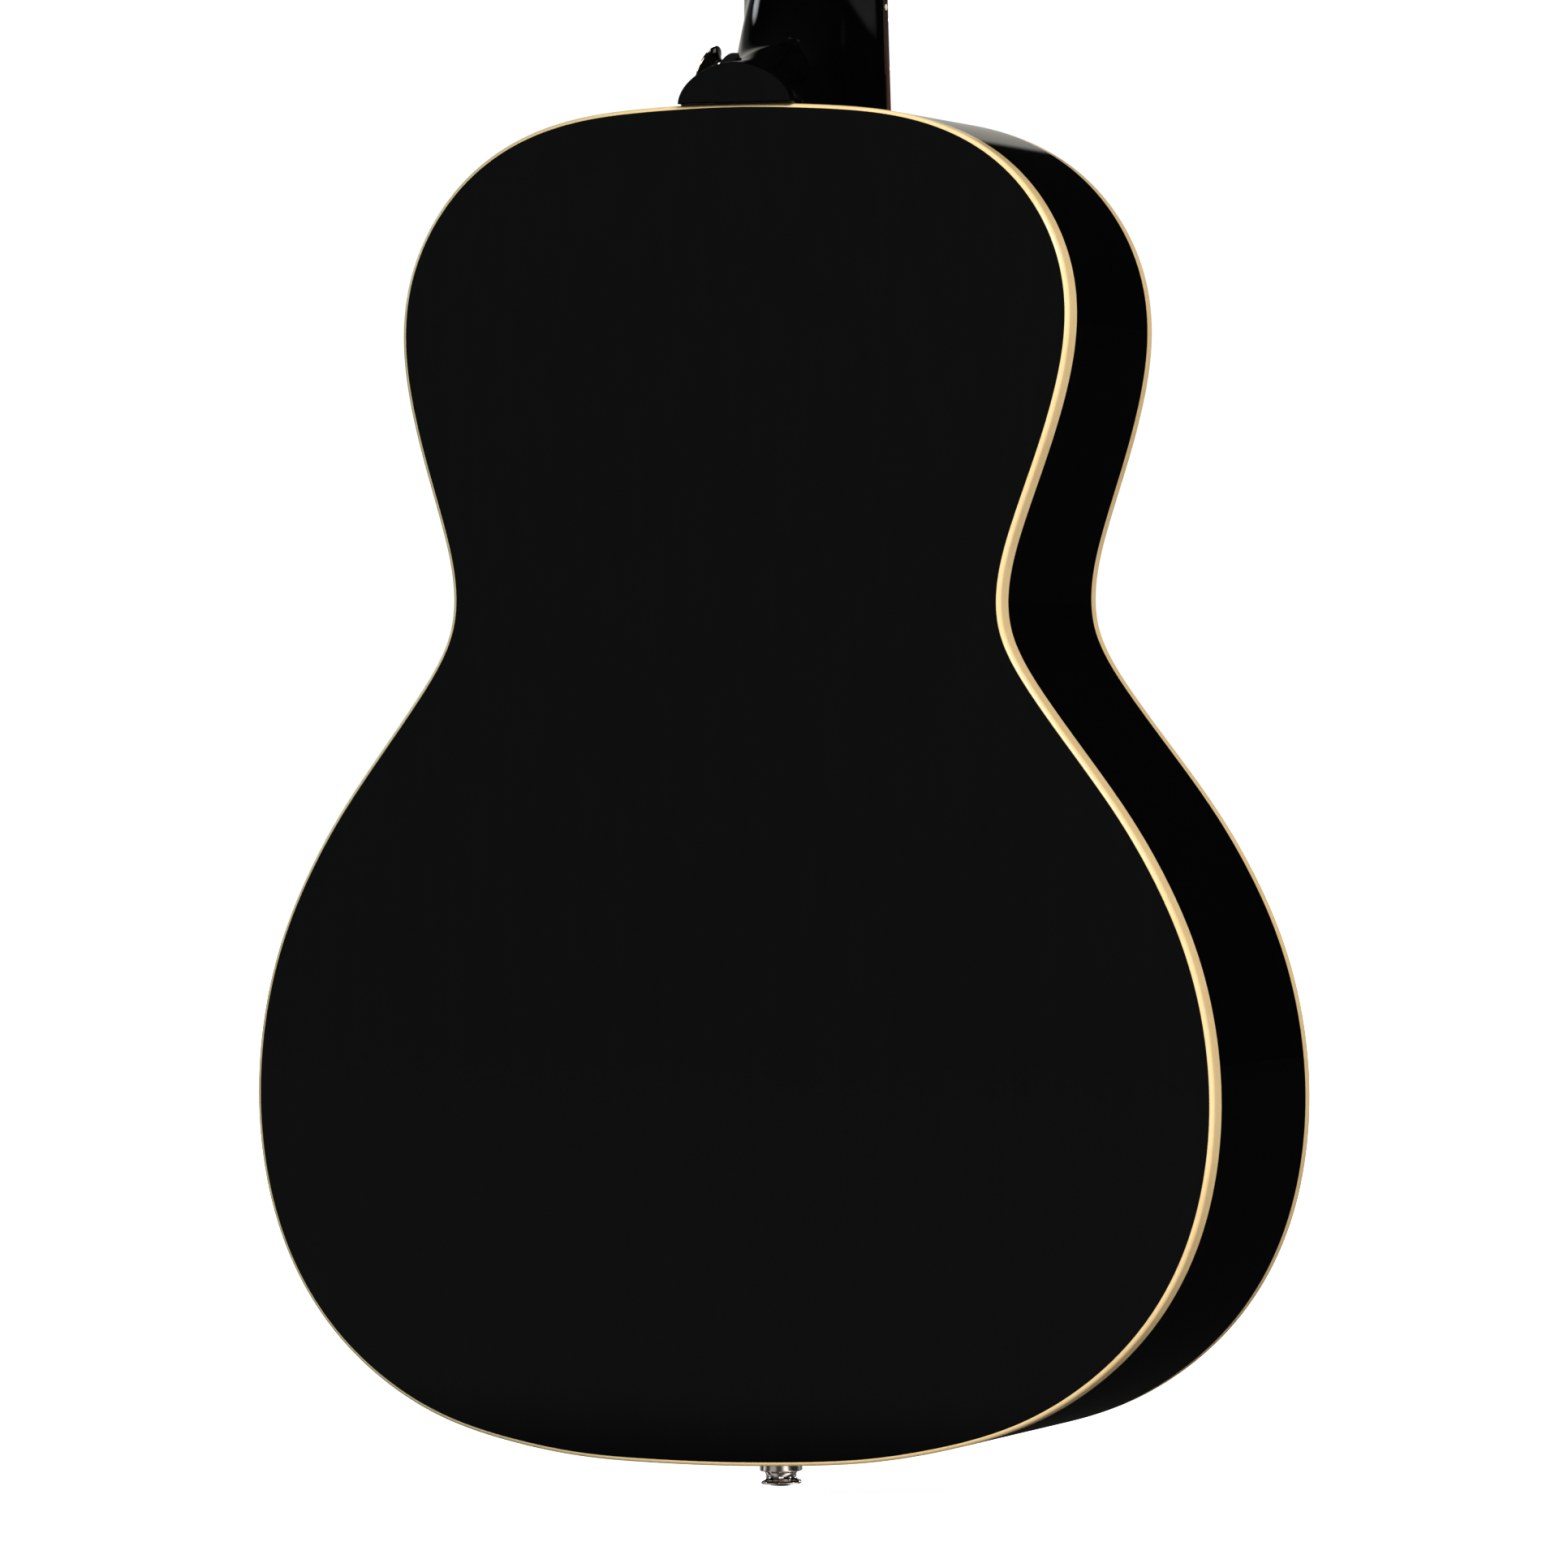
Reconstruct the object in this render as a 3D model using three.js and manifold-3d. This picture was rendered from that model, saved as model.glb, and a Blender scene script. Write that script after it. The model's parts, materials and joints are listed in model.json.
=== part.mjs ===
// Flat-top steel-string acoustic guitar with a small body, fourteen frets clear of the body.
// Millimetres, +Z up along the neck, soundboard facing -Y, back facing +Y, treble side +X,
// bass side -X. Pieces are laid out from the tail end of the centre line, on the plane of the
// soundboard's rim. At the end the whole instrument is moved so that its origin is the centre
// of the foot of its bounding box.
import * as THREE from "three";
import { mergeVertices } from "three/addons/utils/BufferGeometryUtils.js";
import Module from "manifold-3d";

const { clamp, degToRad, mapLinear, radToDeg, smoothstep } = THREE.MathUtils;
const wasm = await Module();
wasm.setup();

// ---------------------------------------------------------------- driving dimensions
const GAP = 0.3; // clearance between neighbouring pieces
const SCALE_LENGTH = 628.65; // vibrating length of the open string

const BODY_LENGTH = 489; // along the back
const FRONT_RATIO = 0.99009; // the front outline's length over the back outline's
const TAIL_DEPTH = 106.96; // depth of the rim at the tail
const NECK_DEPTH = 75.76; // and at the neck
const ARCH_ACROSS = 0.000531; // curvature of the back across the body, 1/mm
const ARCH_ALONG = 0.000294; // and along it, 1/mm
const DOME_RISE = 2.5; // rise of the soundboard
const TOP_THICK = 3;
const BACK_THICK = 2.8;
const SIDE_THICK = 2.6;
const BINDING_THICK = 1.45;
const BACK_BINDING_HEIGHT = 7.94;
const TOP_BINDING_HEIGHT = 5.2;
const PLATE_INSET = BINDING_THICK + GAP;

const HOLE_Z = 345;
const HOLE_RADIUS = 50.8;
const ROSETTE_INNER = 54;
const ROSETTE_OUTER = 61;
const ROSETTE_DEPTH = 1.2;

const BRIDGE_Z0 = 178;
const BRIDGE_Z1 = 207;
const PIN_Z = 186;
const PIN_SPACING = 10.8;
const SADDLE_Z = 200.6;
const SADDLE_ANGLE = degToRad(-2);
const JACK_Y = 53.3; // axis of the end pin jack
const LEAD_X = -34; // where the pickup's lead rises to the saddle

const nutToFret = (fret) => SCALE_LENGTH * (1 - 2 ** (-fret / 12));
const JOINT_Z = BODY_LENGTH * FRONT_RATIO; // fourteenth fret, where the neck leaves the body
const NUT_Z = JOINT_Z + nutToFret(14); // face of the nut
const NUT_WIDTH = 43.8; // fretboard width at the nut
const BOARD_TAPER = 0.03385; // its gain per mm towards the body
const BOARD_THICK = 5.5;
const BOARD_RADIUS = 304.8;
const BOARD_END_Z = 397.2;
const FRETS = 20;
const FRET_HEIGHT = 1.1;
const TENON = { half: 10, y0: 15.6, y1: 60, z0: 463.2 };

const HEAD_ANGLE = degToRad(17);
const HEAD_THICK = 14.5;
const HEAD_Z = NUT_Z + 5.8;
const TUNER_X = 22;
const TUNER_Z = [46, 82, 118]; // string posts, along the headstock

const STRINGS = [0, 1, 2, 3, 4, 5]; // bass to treble; names count down from 6 to 1
const GAUGES = [1.35, 1.07, 0.81, 0.61, 0.41, 0.3]; // string diameters
const pinX = STRINGS.map((k) => (k - 2.5) * PIN_SPACING);
const nutX = STRINGS.map((k) => (k - 2.5) * 7.1);

const FINISHES = {
  black: { color: 0x0c0e10, roughness: 0.12 },
  cream: { color: 0xdcc389, roughness: 0.3 },
  spruce: { color: 0xd9bd86, roughness: 0.6 },
  mahogany: { color: 0x8a5534, roughness: 0.6 },
  rosewood: { color: 0x3a211a, roughness: 0.5 },
  bone: { color: 0xeee6d2, roughness: 0.35 },
  nickel: { color: 0xb9b5ae, roughness: 0.22, metalness: 1 },
  bronze: { color: 0xb98b4e, roughness: 0.35, metalness: 1 },
  steel: { color: 0xc4c6c8, roughness: 0.3, metalness: 1 },
  pickguard: { color: 0x3b1d10, roughness: 0.2 },
  lead: { color: 0x111111, roughness: 0.6 },
  washer: { color: 0x0a0a0a, roughness: 0.9 },
  heelCap: { color: 0x0c0e10, roughness: 0.15 },
  rodCover: { color: 0x0a0a0a, roughness: 0.2 },
};

// ---------------------------------------------------------------- the body's surfaces
// Half outline of the back: distance from (0, HUB_Z), every 3 degrees from tail to neck end.
const HUB_Z = 220;
const HALF_OUTLINE = [
  220.123, 220.335, 221.0, 222.151, 223.688, 225.407, 227.182, 229.063, 231.087, 233.028,
  234.544, 235.451, 235.773, 235.526, 234.646, 233.054, 230.728, 227.686, 223.986, 219.761,
  215.149, 210.247, 205.128, 199.856, 194.481, 189.04, 183.538, 177.979, 172.441, 167.064,
  161.947, 157.095, 152.507, 148.251, 144.42, 141.076, 138.239, 135.926, 134.147, 132.92,
  132.375, 132.729, 134.38, 138.122, 144.906, 156.46, 174.776, 198.378, 221.296, 238.6,
  250.738, 259.446, 265.641, 269.612, 271.671, 272.222, 271.7, 270.659, 269.704, 269.159,
  268.99,
];

// Radius of the outline at an angle, by a cubic through the four nearest entries.
function outlineRadius(degrees) {
  const place = clamp((degrees + 90) / 3, 0, 60);
  const first = Math.min(59, Math.floor(place));
  const part = place - first;
  const entry = (k) => HALF_OUTLINE[k < 0 ? -k : k > 60 ? 120 - k : k];
  const [before, start, end, after] = [-1, 0, 1, 2].map((k) => entry(first + k));
  const square = 2 * before - 5 * start + 4 * end - after;
  const cube = 3 * (start - end) + after - before;
  return start + 0.5 * part * (end - before + part * (square + part * cube));
}

// The half outline as fine [x, z] points, and the length along it up to each point.
const FINE = 1800;
const outline = [];
for (let k = 0; k <= FINE; k++) {
  const degrees = -90 + k / 10;
  const radius = outlineRadius(degrees);
  const angle = degToRad(degrees);
  const x = k % FINE === 0 ? 0 : radius * Math.cos(angle);
  outline.push([x, HUB_Z + radius * Math.sin(angle)]);
}
const lengths = [0];
for (let k = 1; k <= FINE; k++) {
  const [[x0, z0], [x1, z1]] = [outline[k - 1], outline[k]];
  lengths.push(lengths[k - 1] + Math.hypot(x1 - x0, z1 - z0));
}
const HALF_LENGTH = lengths[FINE];

// [x, z] of the back's outline moved inwards. share runs from 0 at the tail to 1 at the neck
// end on the treble side, and to -1 on the bass side.
function edge(share, inset) {
  const side = share < 0 ? -1 : 1;
  const length = Math.min(1, Math.abs(share)) * HALF_LENGTH;
  let k = 1;
  while (k < FINE && lengths[k] < length) k++;
  const part = (length - lengths[k - 1]) / (lengths[k] - lengths[k - 1]);
  const [x0, z0] = outline[k - 1];
  const [x1, z1] = outline[k];
  const before = outline[Math.max(0, k - 6)];
  const after = outline[Math.min(FINE, k + 5)];
  let normal = [before[1] - after[1], after[0] - before[0]];
  if (length < 0.01) normal = [0, 1];
  if (length > HALF_LENGTH - 0.01) normal = [0, -1];
  const move = inset / Math.hypot(...normal);
  return [
    side * (x0 + part * (x1 - x0) + move * normal[0]),
    z0 + part * (z1 - z0) + move * normal[1],
  ];
}

const backY = (x, z) =>
  TAIL_DEPTH + ((NECK_DEPTH - TAIL_DEPTH) * z) / BODY_LENGTH - (ARCH_ACROSS * x * x) / 2 -
  (ARCH_ALONG / 2) * ((z - BODY_LENGTH / 2) ** 2 - (BODY_LENGTH / 2) ** 2);

// A level measured from the back's outer surface towards the soundboard.
const fromBack = (distance) => (back) => back - distance;

// A point of the rim; the sides lean, because the front outline is shorter than the back's.
// level is a y, or a function of the back's y.
function rim(share, inset, level) {
  const [x, z] = edge(share, inset);
  const back = backY(x, z);
  const y = typeof level === "function" ? level(back) : level;
  return [x, y, z * (FRONT_RATIO + (1 - FRONT_RATIO) * clamp(y / back, 0, 1))];
}

// Rise of the soundboard towards -Y; it is flat at the rim and under the fretboard.
function dome(x, z) {
  const rise = z / FRONT_RATIO - HUB_Z;
  const radius = outlineRadius(radToDeg(Math.atan2(rise, Math.abs(x))));
  const reach = Math.min(1, Math.hypot(x, rise) / radius);
  return DOME_RISE * (1 - reach * reach) ** 1.5 * (1 - smoothstep(z, 290, 388));
}

// Widest half width of the outline at a height.
function halfWidth(z) {
  let best = 0;
  for (let k = 1; k <= FINE; k++) {
    const [x0, z0] = outline[k - 1];
    if ((z0 - z) * (outline[k][1] - z) <= 0) best = Math.max(best, x0);
  }
  return best;
}

// Height of a string's centre over the soundboard's plane, from nut to saddle.
function stringY(x, z) {
  const nutLevel = -7.6;
  const saddleLevel = -11.2;
  const share = (NUT_Z - z) / SCALE_LENGTH;
  return nutLevel + (saddleLevel - nutLevel) * share + (x * x) / (2 * BOARD_RADIUS);
}

// ---------------------------------------------------------------- geometry helpers
// Positions only, welded, without collapsed triangles, facing outwards.
function clean(source) {
  let geometry = source.clone();
  for (const name of Object.keys(geometry.attributes))
    if (name !== "position") geometry.deleteAttribute(name);
  geometry.clearGroups();
  geometry = mergeVertices(geometry, 1e-3);
  const corners = geometry.index.array;
  const kept = [];
  for (let i = 0; i < corners.length; i += 3) {
    const [a, b, c] = corners.subarray(i, i + 3);
    if (a !== b && b !== c && a !== c) kept.push(a, b, c);
  }
  const xyz = geometry.attributes.position.array;
  let volume = 0;
  for (let i = 0; i < kept.length; i += 3) {
    const [a, b, c] = [kept[i] * 3, kept[i + 1] * 3, kept[i + 2] * 3];
    volume +=
      xyz[a] * (xyz[b + 1] * xyz[c + 2] - xyz[b + 2] * xyz[c + 1]) -
      xyz[a + 1] * (xyz[b] * xyz[c + 2] - xyz[b + 2] * xyz[c]) +
      xyz[a + 2] * (xyz[b] * xyz[c + 1] - xyz[b + 1] * xyz[c]);
  }
  if (volume < 0)
    for (let i = 0; i < kept.length; i += 3)
      [kept[i + 1], kept[i + 2]] = [kept[i + 2], kept[i + 1]];
  geometry.setIndex(kept);
  return geometry;
}

function solid(source) {
  const geometry = clean(source);
  return new wasm.Manifold(new wasm.Mesh({
    numProp: 3,
    vertProperties: new Float32Array(geometry.attributes.position.array),
    triVerts: new Uint32Array(geometry.index.array),
  }));
}

function surface(manifold) {
  const mesh = manifold.getMesh();
  const xyz = new Float32Array(mesh.numVert * 3);
  for (let i = 0; i < mesh.numVert; i++) {
    const start = i * mesh.numProp;
    xyz.set(mesh.vertProperties.subarray(start, start + 3), i * 3);
  }
  return new THREE.BufferGeometry()
    .setAttribute("position", new THREE.BufferAttribute(xyz, 3))
    .setIndex(new THREE.BufferAttribute(new Uint32Array(mesh.triVerts), 1));
}

const cut = (body, ...tools) =>
  surface(tools.reduce((rest, tool) => rest.subtract(solid(tool)), solid(body)));
const join = (body, ...more) =>
  surface(more.reduce((sum, piece) => sum.add(solid(piece)), solid(body)));

// Moves each vertex to place(x, y, z).
function bend(geometry, place) {
  const positions = geometry.attributes.position;
  for (let i = 0; i < positions.count; i++) {
    const [x, y, z] = [positions.getX(i), positions.getY(i), positions.getZ(i)];
    positions.setXYZ(i, ...place(x, y, z));
  }
  return geometry;
}

const toVector = ([x, y]) => new THREE.Vector2(x, y);

function extrude(points, depth, steps = 1, holes = []) {
  const shape = new THREE.Shape(points.map(toVector));
  shape.holes.push(...holes.map((hole) => new THREE.Path(hole.map(toVector))));
  return new THREE.ExtrudeGeometry(shape, { depth, steps, bevelEnabled: false });
}

// Turns a profile of [radius, y] round the Y axis.
const lathe = (profile, segments) => new THREE.LatheGeometry(profile.map(toVector), segments);

const polygon = (count, radius = 1) =>
  Array.from({ length: count }, (_, k) => {
    const angle = (2 * Math.PI * k) / count;
    return [radius * Math.cos(angle), radius * Math.sin(angle)];
  });

// Completes an outline of +x points that ends on x = 0 with its mirror image.
function symmetric(half) {
  const mirrored = half.filter(([x]) => x > 0).map(([x, y]) => [-x, y]);
  return [mirrored[0], ...half, ...mirrored.slice(1).toReversed()];
}

const box = (x0, x1, y0, y1, z0, z1) =>
  new THREE.BoxGeometry(x1 - x0, y1 - y0, z1 - z0)
    .translate((x0 + x1) / 2, (y0 + y1) / 2, (z0 + z1) / 2);

// Cylinders along +Y, +X or +Z between two stations.
const cylinder = (radius, length, sides) =>
  new THREE.CylinderGeometry(radius, radius, length, sides);
const rodY = (x, z, radius, y0, y1, sides) =>
  cylinder(radius, y1 - y0, sides).translate(x, (y0 + y1) / 2, z);
const rodX = (y, z, radius, x0, x1, sides) =>
  cylinder(radius, x1 - x0, sides).rotateZ(-Math.PI / 2).translate((x0 + x1) / 2, y, z);
const rodZ = (x, y, radius, z0, z1, sides) =>
  cylinder(radius, z1 - z0, sides).rotateX(Math.PI / 2).translate(x, y, (z0 + z1) / 2);

const STATIONS = 32; // along half the outline

// A skin round the body, up the treble side and down the bass side.
// place(share, column) gives the point for each column of the section.
function wrap(columns, place) {
  const loop = [...columns, columns[0]];
  const geometry = lathe(loop.map((_, k) => [1 + k * 0.01, k]), 2 * STATIONS);
  for (let i = 0; i <= 2 * STATIONS; i++) {
    const share = (i <= STATIONS ? i : i - 2 * STATIONS) / STATIONS;
    loop.forEach((column, j) =>
      geometry.attributes.position.setXYZ(i * loop.length + j, ...place(share, column)));
  }
  return geometry;
}

// A ring along the rim; its section is a list of [inset, level].
const ring = (section) => wrap(section, (share, corner) => rim(share, ...corner));

// A section swept over numbered stations; place(corner, station) gives the points.
function sweep(section, steps, place) {
  const count = section.length;
  return bend(extrude(polygon(count), 1, steps), (x, y, z) => {
    const k = Math.round((Math.atan2(y, x) / (2 * Math.PI)) * count + count) % count;
    return place(section[k], Math.round(z * steps));
  });
}

const guitar = new THREE.Group();
const head = new THREE.Group(); // origin at the headstock's foot, on its face
head.position.set(0, 0, HEAD_Z);
head.rotation.x = -HEAD_ANGLE;
guitar.add(head);
const headFrame = new THREE.Matrix4().makeRotationX(-HEAD_ANGLE).setPosition(0, 0, HEAD_Z);

function put(name, source, finish, group = guitar) {
  const geometry = clean(source).toNonIndexed();
  geometry.computeVertexNormals();
  const mesh = new THREE.Mesh(geometry, new THREE.MeshStandardMaterial(finish));
  mesh.name = name;
  group.add(mesh);
}

// ---------------------------------------------------------------- soundboard and back
// A bridge-pin hole with its string slot towards the saddle.
function pinHole(x, y0, y1) {
  const radius = 3;
  const slotHalf = 1.1;
  const slotEnd = 6.2;
  const slotAngle = Math.asin(slotHalf / radius);
  const points = [];
  for (let k = 0; k <= 8; k++) {
    const angle = Math.PI / 2 + slotAngle + ((2 * Math.PI - 2 * slotAngle) * k) / 8;
    points.push([radius * Math.cos(angle), -radius * Math.sin(angle)]);
  }
  points.push([slotHalf, -slotEnd], [-slotHalf, -slotEnd]);
  return extrude(points, y1 - y0).rotateX(-Math.PI / 2).translate(x, y0, PIN_Z);
}

// Cutters for the six pins and the pickup's lead.
const bridgeHoles = (pinTop) => [
  ...pinX.map((x) => pinHole(x, pinTop, 12)),
  rodY(LEAD_X, SADDLE_Z, 1.8, -8, 12, 8),
];

function soundboard() {
  // [radius about the sound hole, share of the rest of the way to the rim, depth]
  const section = [
    [HOLE_RADIUS, 0, 0],
    [ROSETTE_INNER, 0, 0],
    [ROSETTE_INNER, 0, ROSETTE_DEPTH],
    [ROSETTE_OUTER, 0, ROSETTE_DEPTH],
    ...[0, 0.36, 0.7, 1].map((way) => [ROSETTE_OUTER, way, 0]),
    ...[1, 0.7, 0.36].map((way) => [ROSETTE_OUTER, way, TOP_THICK]),
    [HOLE_RADIUS, 0, TOP_THICK],
  ];
  const plate = wrap(section, (share, [radius, way, depth]) => {
    const [edgeX, edgeZ] = edge(share, PLATE_INSET);
    const rise = edgeZ * FRONT_RATIO - HOLE_Z;
    const length = Math.hypot(edgeX, rise);
    const reach = radius + (length - ROSETTE_OUTER) * way;
    const x = (edgeX * reach) / length;
    const z = HOLE_Z + (rise * reach) / length;
    return [x, depth - dome(x, z), z];
  });
  return cut(plate, ...bridgeHoles(-8));
}

function rosette() {
  const inner = ROSETTE_INNER + GAP;
  const outer = ROSETTE_OUTER - 0.5;
  const profile = [[inner, 0.05], [outer, 0.05], [outer, 0.85], [inner, 0.85], [inner, 0.05]];
  return bend(lathe(profile, 40), (x, y, z) => [x, y - dome(x, z + HOLE_Z), z + HOLE_Z]);
}

function backPlate() {
  const ways = [0, 0.34, 0.66, 1]; // shares of the way from the hub to the rim
  const section = [
    ...ways.map((way) => [way, 0]),
    ...ways.toReversed().map((way) => [way, BACK_THICK]),
  ];
  return wrap(section, (share, [way, depth]) => {
    const [edgeX, edgeZ] = edge(share, PLATE_INSET);
    const x = edgeX * way;
    const z = HUB_Z + (edgeZ - HUB_Z) * way;
    return [x, backY(x, z) - depth, z];
  });
}

put("soundboard", soundboard(), FINISHES.black);
put("rosette", rosette(), FINISHES.cream);
put("back_plate", backPlate(), FINISHES.black);

// ---------------------------------------------------------------- bindings, sides, linings
const bindingRing = (level0, level1) =>
  ring([[0, level0], [BINDING_THICK, level0], [BINDING_THICK, level1], [0, level1]]);
put("back_binding", bindingRing(fromBack(BACK_BINDING_HEIGHT), fromBack(0)), FINISHES.cream);
put("top_binding", bindingRing(0, TOP_BINDING_HEIGHT), FINISHES.cream);

const UNDER_TOP = TOP_THICK + GAP;
const OVER_BACK = BACK_THICK + GAP; // measured from the back's outer surface

// One side, rebated for the bindings; sign is 1 for treble and -1 for bass.
function sidePiece(sign) {
  const section = [
    [0, TOP_BINDING_HEIGHT + GAP],
    [PLATE_INSET, TOP_BINDING_HEIGHT + GAP],
    [PLATE_INSET, UNDER_TOP],
    [SIDE_THICK, UNDER_TOP],
    [SIDE_THICK, fromBack(OVER_BACK)],
    [PLATE_INSET, fromBack(OVER_BACK)],
    [PLATE_INSET, fromBack(BACK_BINDING_HEIGHT + GAP)],
    [0, fromBack(BACK_BINDING_HEIGHT + GAP)],
  ];
  const start = 0.2 / HALF_LENGTH;
  const end = 1 - 10.4 / HALF_LENGTH;
  // the inner stations are the rings' own, so that neighbouring pieces share their facets
  const side = sweep(section, STATIONS, (corner, i) => {
    const share = i === 0 ? start : i === STATIONS ? end : i / STATIONS;
    return rim(sign * share, ...corner);
  });
  return cut(side, rodZ(0, JACK_Y, 4.35, -6, 8, 16));
}
put("side_treble", sidePiece(1), FINISHES.black);
put("side_bass", sidePiece(-1), FINISHES.black);

const LINING_OUTER = SIDE_THICK + GAP;
const LINING_INNER = 8.5;
// A lining; level(depth) measures from its own plate's outer surface.
const lining = (plateDepth, level) => ring([
  [LINING_OUTER, level(plateDepth)],
  [LINING_INNER, level(plateDepth)],
  [LINING_INNER, level(6)],
  [LINING_OUTER, level(14.5)],
]);
put("top_lining", lining(UNDER_TOP, (depth) => depth), FINISHES.mahogany);
put("back_lining", lining(OVER_BACK, fromBack), FINISHES.mahogany);

// A block astride the centre line at the tail (endShare 0) or the neck end (endShare 1),
// notched round the linings.
function block(endShare, half, deep) {
  const notch = LINING_INNER + GAP;
  const section = [
    [LINING_OUTER, 14.9],
    [notch, 14.9],
    [notch, UNDER_TOP + 0.1],
    [deep, UNDER_TOP + 0.1],
    [deep, fromBack(OVER_BACK + 0.5)],
    [notch, fromBack(OVER_BACK + 0.5)],
    [notch, fromBack(14.9)],
    [LINING_OUTER, fromBack(14.9)],
  ];
  const steps = 6;
  return sweep(section, steps, (corner, i) => {
    const across = (2 * i) / steps - 1;
    const offset = (across * half) / HALF_LENGTH;
    const share = endShare ? Math.sign(offset || 1) * (1 - Math.abs(offset)) : offset;
    const flat = corner[0] > notch; // inward faces stay square to the centre line
    const [, y] = rim(share, ...corner);
    const [, , z] = rim(flat ? endShare : share, ...corner);
    return [across * half * 0.985, y, z];
  });
}
const tenonPocket = box(
  -TENON.half - 0.4, TENON.half + 0.4, TENON.y0 - 0.4, TENON.y1 + 0.4, TENON.z0 - 0.6, 500);
const jackBore = rodZ(0, JACK_Y, 6.3, -5, 40, 16);
put("tail_block", cut(block(0, 34, 21), jackBore), FINISHES.mahogany);
put("neck_block", cut(block(1, 36, 28), tenonPocket), FINISHES.mahogany);

// ---------------------------------------------------------------- braces and bridge plate
// A bar under the soundboard between two [x, z] points, tapering to a low end at each end.
function topBar(from, to, width, height, steps = 10) {
  const length = Math.hypot(to[0] - from[0], to[1] - from[1]);
  const alongX = (to[0] - from[0]) / length;
  const alongZ = (to[1] - from[1]) / length;
  return bend(new THREE.BoxGeometry(width, 1, length, 1, 1, steps), (x, y, z) => {
    const share = z / length + 0.5;
    const barX = from[0] + alongX * share * length + alongZ * x;
    const barZ = from[1] + alongZ * share * length - alongX * x;
    const tall = height * Math.min(1, 0.25 + 3.2 * Math.min(share, 1 - share));
    return [barX, UNDER_TOP - dome(barX, barZ) + (y > 0 ? tall : 0), barZ];
  });
}
const xBars = [-1, 1].map((side) =>
  topBar([side * 98, 366], [-side * 158, 110], 7.5, 14, 12));
put("x_brace", join(...xBars), FINISHES.spruce);
put("tone_bar", topBar([-92, 150], [66, 58], 7, 11), FINISHES.spruce);
put("transverse_brace", topBar([-112, 414], [112, 414], 9, 16, 8), FINISHES.spruce);

// Cut flat, then laid against the underside of the soundboard.
function bridgePlate() {
  const thickness = 2.4;
  const outlineXZ = [[-74, 176], [74, 176], [44, 213], [-44, 213]];
  const blank = bend(extrude(outlineXZ, 1), (x, y, z) => [x, z, y]);
  return bend(cut(blank, ...bridgeHoles(-8)), (x, y, z) =>
    [x, UNDER_TOP + 0.1 + (y > 0.5 ? thickness : 0) - dome(x, z), z]);
}
put("bridge_plate", bridgePlate(), FINISHES.rosewood);

// A brace across the back, tapering to its ends.
function backBrace(middle, width, height) {
  const narrowest = Math.min(halfWidth(middle - width / 2), halfWidth(middle + width / 2));
  const half = narrowest - 11.5;
  return bend(new THREE.BoxGeometry(2 * half, 1, width, 12, 1, 1), (x, y, z) => {
    const foot = backY(x, middle + z) - OVER_BACK - 0.2;
    const tall = height * Math.min(1, 0.25 + 5 * (0.5 - Math.abs(x) / (2 * half)));
    return [x, y > 0 ? foot : foot - tall, middle + z];
  });
}
// [z, width, height]
[[72, 14, 8], [168, 14, 8], [286, 8, 15], [398, 8, 15]].forEach((brace, k) =>
  put(`back_brace_${k + 1}`, backBrace(...brace), FINISHES.spruce));

// ---------------------------------------------------------------- bridge, saddle, pins
const atSaddle = (geometry) => geometry.rotateY(SADDLE_ANGLE).translate(0, 0, SADDLE_Z);

function bridge() {
  const across = [-78, -70, -60, -50, -25, 0, 25, 50, 60, 70, 78];
  const topY = (x) => -8.6 + 3.4 * smoothstep(Math.abs(x), 50, 66); // thinner at the ends
  const section = [...across.map((x) => [x, 0]), ...across.toReversed().map((x) => [x, -1])];
  const body = bend(extrude(section, BRIDGE_Z1 - BRIDGE_Z0, 2), (x, y, z) =>
    [x, y < -0.5 ? topY(x) : -dome(x, z + BRIDGE_Z0) - GAP, z + BRIDGE_Z0]);
  const slot = atSaddle(box(-36.6, 36.6, -20, -3.4, -1.7, 1.7));
  return cut(body, slot, ...bridgeHoles(-20));
}

// Saddle, crowned to the fretboard's radius.
function saddle() {
  const thickness = 2.7;
  const crown = [-36, -28, -18, -9, 0, 9, 18, 28, 36].map((x) =>
    [x, stringY(x, SADDLE_Z) + 0.95 + (Math.abs(x) > 30 ? 1 : 0)]);
  const side = [[-36, -5.2], [36, -5.2], ...crown.toReversed()];
  return atSaddle(extrude(side, thickness).translate(0, 0, -thickness / 2));
}

put("bridge", bridge(), FINISHES.rosewood);
put("saddle", saddle(), FINISHES.bone);
put("saddle_pickup", atSaddle(box(-35.8, 35.8, -4.9, -3.8, -1.1, 1.1)), FINISHES.steel);

// [radius, y] from head to tip
const PIN_PROFILE = [
  [0, -13.6], [2.4, -12.9], [3.8, -11], [3.7, -9.2], [2.5, -9], [1.9, 14], [0, 14],
];
pinX.forEach((x, k) =>
  put(`bridge_pin_${6 - k}`, lathe(PIN_PROFILE, 10).translate(x, 0, PIN_Z), FINISHES.bone));

// ---------------------------------------------------------------- pickguard
function pickguard() {
  const radius = 63; // of the edge that follows the sound hole
  const points = []; // [x, z]
  for (let k = 0; k <= 8; k++) {
    const angle = degToRad(-80 + (58 * k) / 8);
    points.push([radius * Math.cos(angle), HOLE_Z + radius * Math.sin(angle)]);
  }
  points.push(
    [72, 312], [80, 292], [84, 262], [80, 238], [70, 224],
    [54, 222], [40, 232], [26, 254], [13, 272],
  );
  return bend(extrude(points, 1), (x, y, z) => [x, -dome(x, y) - 0.45 - 1.2 * z, y]);
}
put("pickguard", pickguard(), FINISHES.pickguard);

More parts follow.
